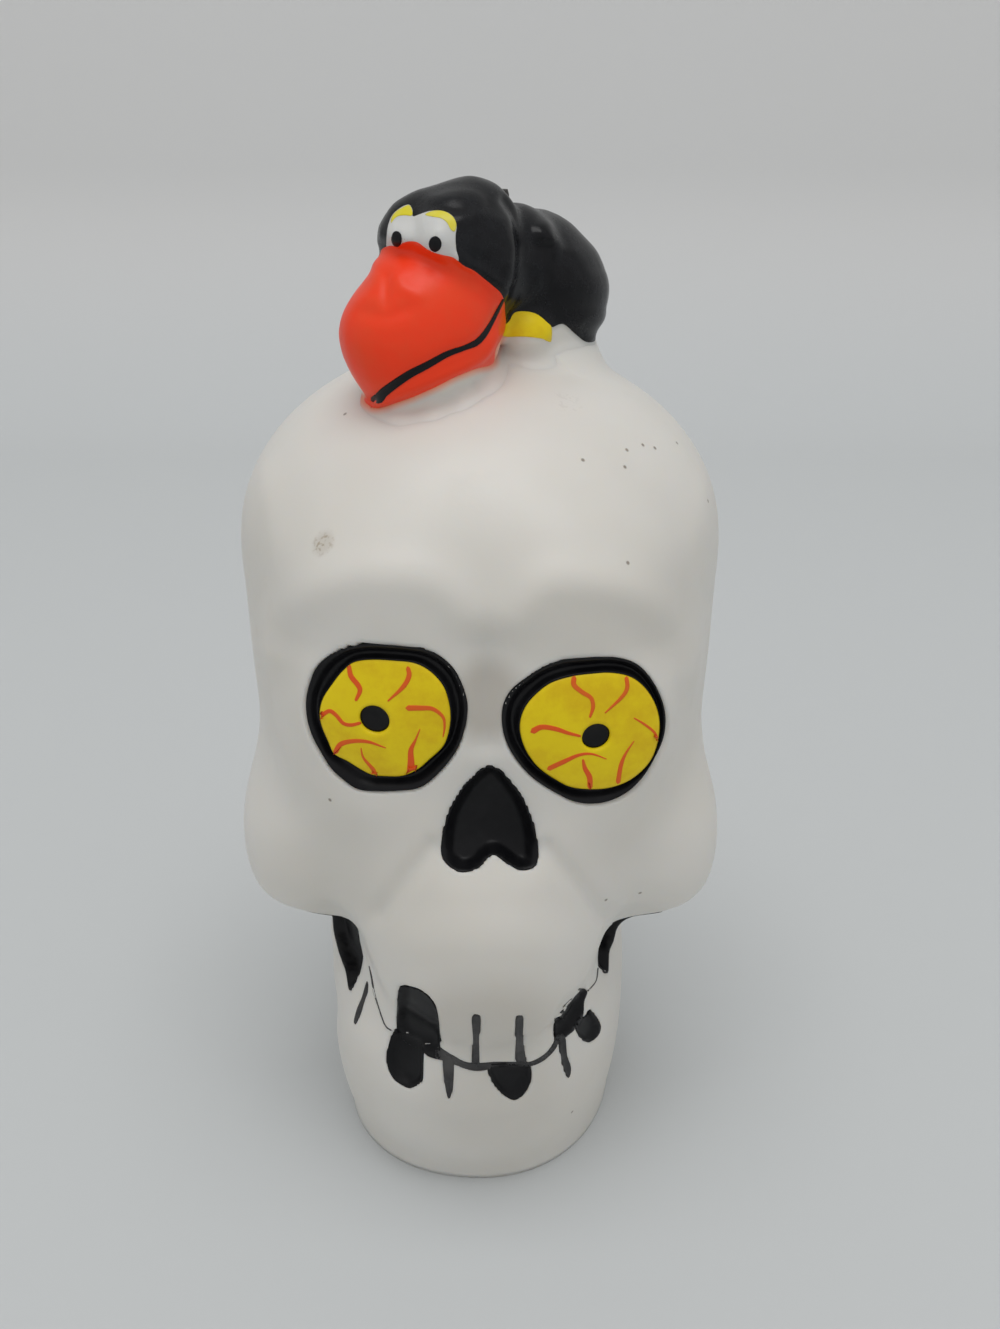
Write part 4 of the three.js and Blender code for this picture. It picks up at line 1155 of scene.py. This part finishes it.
# %% [markdown]
# A border rarely runs along the edges of the mesh. So every edge that crosses it is split where the
# number is zero, and the new points are connected across the faces. What lies outside is deleted, and
# the rest is lifted by the thickness of the paint and made solid.

# %% Cut the layers of paint out of the wax
def paint_layer(name, border, proud):
    bm = wax.copy()
    layer = bm.verts.layers.float[border]
    fresh = []
    for edge in bm.edges[:]:
        start, end = edge.verts
        if start[layer] * end[layer] < 0:
            share = start[layer] / (start[layer] - end[layer])
            corner = bmesh.utils.edge_split(edge, start, share)[1]
            corner[layer] = 0
            fresh.append(corner)
    bmesh.ops.connect_verts(bm, verts=fresh)
    outside = [face for face in bm.faces if sum(vertex[layer] for vertex in face.verts) <= 0]
    bmesh.ops.delete(bm, geom=outside, context="FACES")
    bm.normal_update()
    put(bm, places(bm) + normals(bm) * proud)
    thicken(bm, paint["thickness"])
    return make_piece(name, bm)


plumage_proud, beak_proud = 0.05 * mm, 0.13 * mm
plumage = paint_layer("crow_plumage", "plumage", plumage_proud)
beak = paint_layer("crow_beak", "beak", beak_proud)

# %% [markdown]
# The wax itself shows only where no colour covers it: under beak and tail, beside the foot and in the
# fillet. Away from the crow it sinks into the skull's skin, so that the dome has one surface.

# %% Sink the rim of the fused wax into the dome
sink = {"from": 1.2 * mm, "over": 4 * mm, "depth": 0.4 * mm}
sunk = soft_step((gaps_to(crow_tree, wax) - sink["from"]) / sink["over"]) * sink["depth"]
put(wax, places(wax) - normals(wax) * sunk[:, None])
turn_out(wax)
crow_wax = make_piece("crow_wax", wax)

# %% Paint the face, the foot and the mouth
face_outlines = {
    "bird_face": (0.09 * mm, [
        (388, 257), (387, 248), (387, 238), (388.5, 225.5), (393, 215), (401, 208), (409, 205),
        (412.5, 210), (413, 216.5), (419, 215), (426, 212.5), (434, 211), (445, 212), (453, 217),
        (456.5, 225.5), (455.5, 236), (456, 248), (458, 262), (440, 260), (415, 251),
    ]),
    "bird_eyelid_left": (0.13 * mm, [
        (391.5, 223.5), (392.5, 217), (397, 211.5), (402, 208.5), (409, 205.5), (412.3, 210.5),
        (412, 216), (405.5, 215.7), (398.6, 216.5), (394.5, 219.5),
    ]),
    "bird_eyelid_right": (0.13 * mm, [
        (425.5, 215), (434, 211.3), (444.5, 212), (453, 217.5), (456.3, 225), (454.5, 231.6),
        (450.6, 229.6), (446.5, 222.4), (440.4, 218.4), (432, 217),
    ]),
    "bird_foot": (0.07 * mm, [
        (504, 326), (509, 321), (514.5, 312.5), (526, 311.5), (537, 314.5), (547, 322.5), (551.5, 328),
        (551, 341), (547, 341), (541, 338.5), (524, 336.7), (506, 336.7), (502, 334),
    ]),
}
pupil_ovals = {"bird_pupil_left": (397.1, 238.8, 5.1, 7.4), "bird_pupil_right": (435.4, 243.8, 6.1, 7.4)}
pupil_proud = 0.17 * mm
beak_line = [
    (374, 398), (379, 397.5), (386, 390.5), (407.8, 375), (428, 364.3), (446.5, 354), (462.9, 348),
    (475, 342.9), (483.3, 334.7), (491.4, 321.4), (497.6, 309), (502.7, 299),
]
beak_widths = (7.5, 11, 10, 8.5, 7.5, 6.5, 5.5, 6.5, 6, 4, 3, 2)
line_proud = 0.24 * mm
fine_cell = 1.5
oval_points = 24
for name, (proud, outline) in face_outlines.items():
    paint_node(name, smooth_loop(outline), wax_tree, cell=fine_cell, proud=proud)
for name, (x, y, wide, high) in pupil_ovals.items():
    turns = np.arange(oval_points) / oval_points * tau
    oval = np.stack([x + wide * np.cos(turns), y + high * np.sin(turns)], axis=1)
    paint_node(name, oval, wax_tree, cell=fine_cell, proud=pupil_proud)
mouth_line = stroke_outline(beak_line, beak_widths)
paint_node("beak_mouth_line", mouth_line, wax_tree, cell=fine_cell, proud=line_proud)


class FarSideView(PhotoView):
    """The photograph's view, mirrored to the crow's far side."""

    def line(self, pixel):
        start, way = super().line(pixel)
        across = (start - crow["origin"]).dot(crow_left)
        return start - 2 * across * crow_left, way - 2 * way.dot(crow_left) * crow_left


hidden_from = 3
far_line = paint_skin(
    "far_mouth_line", stroke_outline(beak_line[hidden_from:], beak_widths[hidden_from:]), wax_tree,
    FarSideView(), fine_cell, line_proud,
)

# %% [markdown]
# ## The wick
# A cotton wick is braided, so its section has lobes that climb in a slow turn. A circle pushed in and
# out into lobes, extruded upwards and turned a little at each step, gives that rope. It is thinner at
# the trimmed tip.

# %% Twist the wick
wick = {"lobes": 4, "lobe_depth": 0.14, "pitch": 7 * mm, "step": 0.7 * mm, "around": 24,
        "burnt": 1.5 * mm, "pinch": 0.8}
wick_low, wick_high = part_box("wick")
wick_middle = (wick_low + wick_high) / 2
wick_radius = (wick_high.x - wick_low.x) / 2
wick_bm = bmesh.new()
ring = bmesh.ops.create_circle(
    wick_bm, cap_ends=True, segments=wick["around"], radius=wick_radius,
)["verts"]
for vertex in ring:
    turn = math.atan2(vertex.co.y, vertex.co.x)
    vertex.co *= 1 - wick["lobe_depth"] * (0.5 + 0.5 * math.cos(wick["lobes"] * turn))
bmesh.ops.translate(wick_bm, verts=ring, vec=(wick_middle.x, wick_middle.y, wick_low.z))
steps = int((wick_high.z - wick_low.z) / wick["step"])
rise = (wick_high.z - wick_low.z) / steps
faces = wick_bm.faces[:]
for _ in range(steps):
    grown = bmesh.ops.extrude_face_region(wick_bm, geom=faces)["geom"]
    bmesh.ops.delete(wick_bm, geom=faces, context="FACES_ONLY")
    faces, corners = only(BMFace, grown), only(BMVert, grown)
    bmesh.ops.translate(wick_bm, verts=corners, vec=(0, 0, rise))
    bmesh.ops.rotate(
        wick_bm, verts=corners, cent=(wick_middle.x, wick_middle.y, 0),
        matrix=Matrix.Rotation(tau * rise / wick["pitch"], 3, "Z"),
    )
    if corners[0].co.z > wick_high.z - wick["burnt"]:
        for vertex in corners:
            vertex.co.xy = wick_middle.xy + (vertex.co.xy - wick_middle.xy) * wick["pinch"]
turn_out(wick_bm)
wick_piece = make_piece("braided_wick", wick_bm)

# %% [markdown]
# ## Writing finishes as sums
# A finish is a small net of nodes. The class below wraps one socket, so that a mask can be written as
# `1 - spots * 0.3`: each sign adds a Math node. Every other node comes from one method, which takes the
# kind of node, its settings and what goes into its sockets.

# %% Sockets that can be added and multiplied
class Tie:
    def __init__(self, finish, socket):
        self.finish, self.socket = finish, socket

    def sum(self, operation, *others):
        sockets = dict(enumerate((self, *others)))
        return self.finish.node("ShaderNodeMath", {"operation": operation}, sockets)

    def __add__(self, other):
        return self.sum("ADD", other)

    def __sub__(self, other):
        return self.sum("SUBTRACT", other)

    def __mul__(self, other):
        return self.sum("MULTIPLY", other)

    def __rsub__(self, other):
        return self.finish.node("ShaderNodeMath", {"operation": "SUBTRACT"}, {0: other, 1: self})

    __radd__ = __add__


class Finish:
    """One material while it is being written."""

    def __init__(self, name, **constants):
        self.material = bpy.data.materials.new(name)
        self.material.use_nodes = True
        self.tree = self.material.node_tree
        self.shader = self.tree.nodes["Principled BSDF"]
        self.place = self.node("ShaderNodeTexCoord", output="Object")
        for socket, value in constants.items():
            label = socket.replace("_", " ").title().replace("Ior", "IOR")
            self.shader.inputs[label].default_value = value

    def node(self, kind, settings=None, inputs=None, output=0):
        made = self.tree.nodes.new(kind)
        for key, value in (settings or {}).items():
            setattr(made, key, value)
        for key, value in (inputs or {}).items():
            if isinstance(value, Tie):
                self.tree.links.new(value.socket, made.inputs[key])
            else:
                made.inputs[key].default_value = value
        return Tie(self, made.outputs[output])

    def noise(self, scale, detail, roughness=0.5):
        sockets = {"Vector": self.place, "Scale": scale, "Detail": detail, "Roughness": roughness}
        return self.node("ShaderNodeTexNoise", {}, sockets)

    def between(self, value, low, high):
        """0 where the value is under low, 1 where it is over high."""
        return self.node("ShaderNodeMapRange", {"interpolation_type": "SMOOTHSTEP"},
                         {"Value": value, "From Min": low, "From Max": high})

    def mixed(self, mask, first, second):
        sockets = {0: mask, 6: first, 7: second}
        return self.node("ShaderNodeMix", {"data_type": "RGBA"}, sockets, output=2)

    def near(self, spot, radius, core=0.4):
        """1 round a place on the object, falling to 0 at a radius from it."""
        sockets = {0: self.place, 1: spot}
        gap = self.node("ShaderNodeVectorMath", {"operation": "DISTANCE"}, sockets, "Value")
        return 1 - self.between(gap, radius * core, radius)

    def marked(self, name):
        """A number that the mesh carries at each vertex."""
        return self.node("ShaderNodeAttribute", {"attribute_name": name}, output="Fac")

    def bumps(self, height, distance):
        return self.node("ShaderNodeBump", {}, {"Height": height, "Distance": distance})

    def set(self, **sockets):
        for socket, tie in sockets.items():
            self.tree.links.new(tie.socket, self.shader.inputs[socket.replace("_", " ").title()])
        return self.material


def colour(red, green, blue):
    return (red, green, blue, 1)


# %% [markdown]
# ## Finishes
# Candle wax lets light in a little way, which softens every shadow on it. Handling has left faint stains
# and pin-prick pits, and each one is a small mask round a place on the wax. Three more such masks are
# painted shade: in the hollow between the eyes, round the mouth and on the chin. Beside the beak the wax
# took a breath of orange paint, and beside the black plumage its grey is partly smudged paint and partly
# painted shade under the crow; both follow the distances that the mesh still carries.

# %% Wax
def on_wax(pixel):
    return tuple(canvas.ray_cast(*photo.line(pixel))[0])


# Each kind of noise: how many grains lie along a metre, its detail, and its roughness.
noises = {
    "clouds": (28, 3), "grains": (900, 2), "specks": (1400, 2), "scuffs": (240, 4, 0.6),
    "broad": (110, 3), "streaks": (420, 4, 0.65), "spangles": (300, 2),
}
ivory = {"light": colour(0.735, 0.715, 0.665), "shade": colour(0.70, 0.675, 0.615)}
# Spans say from where to where in its noise a mark fades in.
wax_look = {
    "shade_span": (0.35, 0.7), "speck_span": (0.5, 0.62), "scuff_span": (0.5, 0.75),
    "light_spread": 3 * mm, "relief": 0.3 * mm, "cloud_bumps": 0.6, "grain_bumps": 0.05,
    "roughness": 0.33, "cloud_roughness": 0.1, "scuff_roughness": 0.12,
    "breathed_roughness": 0.36, "breathed_cloud_roughness": 0.12,
}
pits = [(627, 450), (643, 445), (677, 443), (625, 467), (583, 460), (655, 448), (708, 501), (628, 563),
        (345, 414), (506, 349), (330, 800), (572, 1112), (606, 900), (640, 893)]
pit = {"radius": 0.42 * mm, "dark": 0.75, "colour": colour(0.2, 0.16, 0.12), "sinks": 0.3}
# A warm grey that is painted shade, laid in the hollows of the face.
painted_shade_tint = colour(0.40, 0.36, 0.30)
# Each stain: its picture point, radius, strength as an even tone and as specks, and colour. The three in
# the warm grey are painted shade: between the eyes, round the mouth and at the chin.
stains_and_painted_shade = [
    ((323, 543), 2.6 * mm, 0.25, 0.5, colour(0.36, 0.29, 0.2)),
    ((567, 402), 3.5 * mm, 0, 0.18, colour(0.5, 0.47, 0.42)),
    ((487, 700), 9 * mm, 0.55, 0, painted_shade_tint),
    ((487, 1030), 16 * mm, 0.3, 0, painted_shade_tint),
    ((495, 1110), 18 * mm, 0.14, 0, painted_shade_tint),
]
# How many pixels each colour reaches on the wax, how strongly, and what it makes of the ivory. The orange
# is spread paint; the grey beside the plumage is partly smudged paint and partly painted shade under the
# crow.
paint_breaths_and_shade = {"plumage": (6, 0.45, colour(0.3, 0.3, 0.28)), "beak": (9, 0.9, colour(0.9, 0.22, 0.08))}


def wax_base(name):
    finish = Finish(
        name, subsurface_weight=0.3, subsurface_scale=wax_look["light_spread"],
        subsurface_radius=(1, 0.75, 0.5), ior=1.44, specular_ior_level=0.45,
    )
    finish.clouds = finish.noise(*noises["clouds"])
    grains = finish.noise(*noises["grains"])
    finish.relief = finish.clouds * wax_look["cloud_bumps"] + grains * wax_look["grain_bumps"]
    shaded = finish.between(finish.clouds, *wax_look["shade_span"])
    return finish, finish.mixed(shaded, ivory["light"], ivory["shade"])


def skull_wax():
    finish, base = wax_base("ivory wax")
    specks = finish.between(finish.noise(*noises["specks"]), *wax_look["speck_span"])
    # Real stains, and three spots of painted shade in the face's hollows, each mixed in round its place.
    for spot, radius, even, speckled, shade in stains_and_painted_shade:
        mask = finish.near(on_wax(spot), radius) * (even + specks * speckled)
        base = finish.mixed(mask, base, shade)
    holes = sum(finish.near(on_wax(spot), pit["radius"]) for spot in pits)
    base = finish.mixed(holes * pit["dark"], base, pit["colour"])
    scuffs = finish.between(finish.noise(*noises["scuffs"]), *wax_look["scuff_span"])
    clouded = wax_look["roughness"] + finish.clouds * wax_look["cloud_roughness"]
    return finish.set(
        base_color=base, roughness=clouded + scuffs * wax_look["scuff_roughness"],
        normal=finish.bumps(finish.relief - holes * pit["sinks"], wax_look["relief"]),
    )


def breathed_and_shaded_wax():
    finish, base = wax_base("ivory wax by the paint")
    # An orange tint by the beak, and by the plumage a grey that is partly smudge and partly painted
    # shade.
    for border, (reach, strength, shade) in paint_breaths_and_shade.items():
        mask = finish.between(finish.marked(border), -reach, 1) * strength
        base = finish.mixed(mask, base, shade)
    clouded = finish.clouds * wax_look["breathed_cloud_roughness"]
    return finish.set(
        base_color=base, roughness=wax_look["breathed_roughness"] + clouded,
        normal=finish.bumps(finish.relief, wax_look["relief"]),
    )


# %% [markdown]
# The paint is candle paint: satin and a little uneven. Where it is thin, on high and dry places, the
# brush's streaks show as a paler tone.

# %% Candle paint and cotton
paint_look = {
    "broad": 0.6, "streaky": 0.4, "thin_span": (0.4, 0.68), "streak_roughness": 0.2,
    "streak_bumps": 0.5, "relief": 0.09 * mm,
}
# Each paint: its name, its colour where it is thick and where it is thin, its roughness and gloss.
paints = {
    "yellow_wax": ("yellow paint", (0.84, 0.64, 0.005), (0.74, 0.50, 0.004), 0.3, 0.25),
    "lid": ("pale yellow paint", (0.72, 0.62, 0.02), (0.72, 0.66, 0.16), 0.35, 0.3),
    "black_wax": ("black paint", (0.004, 0.004, 0.005), (0.009, 0.009, 0.01), 0.28, 0.2),
    "feathers": ("thin black paint", (0.004, 0.004, 0.005), (0.010, 0.011, 0.013), 0.16, 0.2),
    "grey_line": ("worn black paint", (0.03, 0.03, 0.031), (0.08, 0.078, 0.076), 0.4, 0.3),
    "orange_wax": ("orange paint", (0.93, 0.048, 0.008), (0.88, 0.06, 0.013), 0.26, 0.28),
    "vein": ("vein paint", (0.80, 0.10, 0.008), (0.74, 0.14, 0.01), 0.4, 0.3),
    "wick_cotton": ("waxed cotton", (0.02, 0.018, 0.016), (0.09, 0.085, 0.08), 0.6, 0.3),
}


def paint_finish(name, thick, thin, roughness, gloss):
    finish = Finish(name, specular_ior_level=gloss)
    broad, streaks = finish.noise(*noises["broad"]), finish.noise(*noises["streaks"])
    uneven = broad * paint_look["broad"] + streaks * paint_look["streaky"]
    is_thin = finish.between(uneven, *paint_look["thin_span"])
    return finish.set(
        base_color=finish.mixed(is_thin, colour(*thick), colour(*thin)),
        roughness=roughness + streaks * paint_look["streak_roughness"],
        normal=finish.bumps(streaks * paint_look["streak_bumps"] + broad, paint_look["relief"]),
    )


finishes = {"white_wax": skull_wax(), "wax_by_paint": breathed_and_shaded_wax()}
finishes.update({key: paint_finish(*row) for key, row in paints.items()})

# %% [markdown]
# The little tin dish under the wick and the plug that closes the foot are only seen from below.

# %% Tin
tin_look = {
    "bright": colour(0.62, 0.63, 0.65), "dull": colour(0.5, 0.51, 0.53),
    "roughness": 0.25, "spangle_roughness": 0.15,
}


def tin():
    finish = Finish("tinned steel", metallic=1.0)
    spangles = finish.noise(*noises["spangles"])
    return finish.set(
        base_color=finish.mixed(spangles, tin_look["bright"], tin_look["dull"]),
        roughness=tin_look["roughness"] + spangles * tin_look["spangle_roughness"],
    )


finishes["sustainer_tin"] = tin()

# %% [markdown]
# ## Say what each piece is
# Every piece rides on the one body, takes its finish, and hides the CAD node that it stands for. A node
# that keeps its own shape only gets a finish.

# %% Settle the pieces
def coat(piece, finish):
    piece.data.materials.clear()
    piece.data.materials.append(finishes[finish])


def settle(piece, slot, *stands_for, finish=None):
    coat(piece, finish or slot)
    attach(piece, "root")
    if stands_for:
        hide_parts(*stands_for)


settle(skull, "white_wax", "skull_wax")
settle(crow_wax, "white_wax", finish="wax_by_paint")
for node, piece in eye_pieces.items():
    settle(piece, "yellow_wax" if "ball" in node else "black_wax", node)
# The first part of a name that is in this table picks a painted piece's row: a slot name, which is not
# used here, and its finish.
painted_looks = {
    "bird_face": ("white_wax", "white_wax"), "bird_foot": ("yellow_wax", "yellow_wax"),
    "bird_eyelid": ("yellow_wax", "lid"), "mouth": ("black_wax", "grey_line"),
    "jaw_crack": ("black_wax", "grey_line"), "slit": ("black_wax", "grey_line"),
    "": ("black_wax", "black_wax"),
}
for node, piece in painted.items():
    slot, finish = next(look for start, look in painted_looks.items() if node.startswith(start))
    settle(piece, slot, node, finish=finish)
settle(far_line, "black_wax")
for piece in veins:
    settle(piece, "orange_wax", finish="vein")
for piece in edge_lines:
    settle(piece, "black_wax", finish="grey_line")
settle(plumage, "black_wax", "bird_head", "bird_body", finish="feathers")
settle(beak, "orange_wax", "beak_upper", "beak_lower")
settle(wick_piece, "wick_cotton", "wick")
coat(nodes["base_plug"], "white_wax")
coat(nodes["wick_sustainer"], "sustainer_tin")

# %% [markdown]
# ## Stage and light
# A pale sheet runs back from the object and curves up into a wall, as in a small photo booth. One big
# soft lamp hangs overhead, and the even grey sky fills in the sides.

# %% Floor, wall and lamps
stage = {"half_width": 2.5, "front": -2.5, "bend": 0.36, "wall": 0.46, "height": 1.6, "bend_steps": 12,
         "floor": colour(0.60, 0.62, 0.62), "backdrop": colour(0.70, 0.70, 0.69), "blend_over": 0.09}
softbox = {"wide": 0.8, "deep": 0.6, "power": 5.0, "place": (0.0, -0.2, 1.3), "tilt": math.radians(8)}
room_light = colour(0.62, 0.62, 0.63)
stage_bm = bmesh.new()
ends = [stage_bm.verts.new((side * stage["half_width"], stage["front"], 0)) for side in (-1, 1)]
edge = stage_bm.edges.new(ends)
bend_radius = stage["wall"] - stage["bend"]
section = [(stage["bend"], 0)]
for k in range(1, stage["bend_steps"] + 1):
    turn = math.pi / 2 * k / stage["bend_steps"]
    section.append((stage["bend"] + bend_radius * math.sin(turn), bend_radius * (1 - math.cos(turn))))
section.append((stage["wall"], stage["height"]))
place = Vector((stage["front"], 0))
for y, z in section:
    grown = bmesh.ops.extrude_edge_only(stage_bm, edges=[edge])["geom"]
    edge = only(BMEdge, grown)[0]
    bmesh.ops.translate(stage_bm, verts=only(BMVert, grown), vec=(0, y - place.x, z - place.y))
    place = Vector((y, z))
floor = make_piece("stage_sheet", stage_bm)
floor_finish = Finish("stage paper", roughness=0.9)
height = floor_finish.node("ShaderNodeSeparateXYZ", {}, {0: floor_finish.place}, "Z")
risen_share = floor_finish.between(height, 0.0, stage["blend_over"])
paper = floor_finish.mixed(risen_share, stage["floor"], stage["backdrop"])
floor.data.materials.append(floor_finish.set(base_color=paper))

lamp_data = bpy.data.lights.new("overhead_softbox", "AREA")
lamp_data.shape = "RECTANGLE"
lamp_data.size, lamp_data.size_y = softbox["wide"], softbox["deep"]
lamp_data.energy = softbox["power"]
lamp = bpy.data.objects.new("overhead_softbox", lamp_data)
lamp.location = softbox["place"]
lamp.rotation_euler = (softbox["tilt"], 0, 0)
bpy.context.scene.collection.objects.link(lamp)

world = bpy.data.worlds.new("grey_room")
bpy.context.scene.world = world
world.use_nodes = True
world.node_tree.nodes["Background"].inputs["Color"].default_value = room_light
bpy.context.scene.view_settings.view_transform = "Standard"
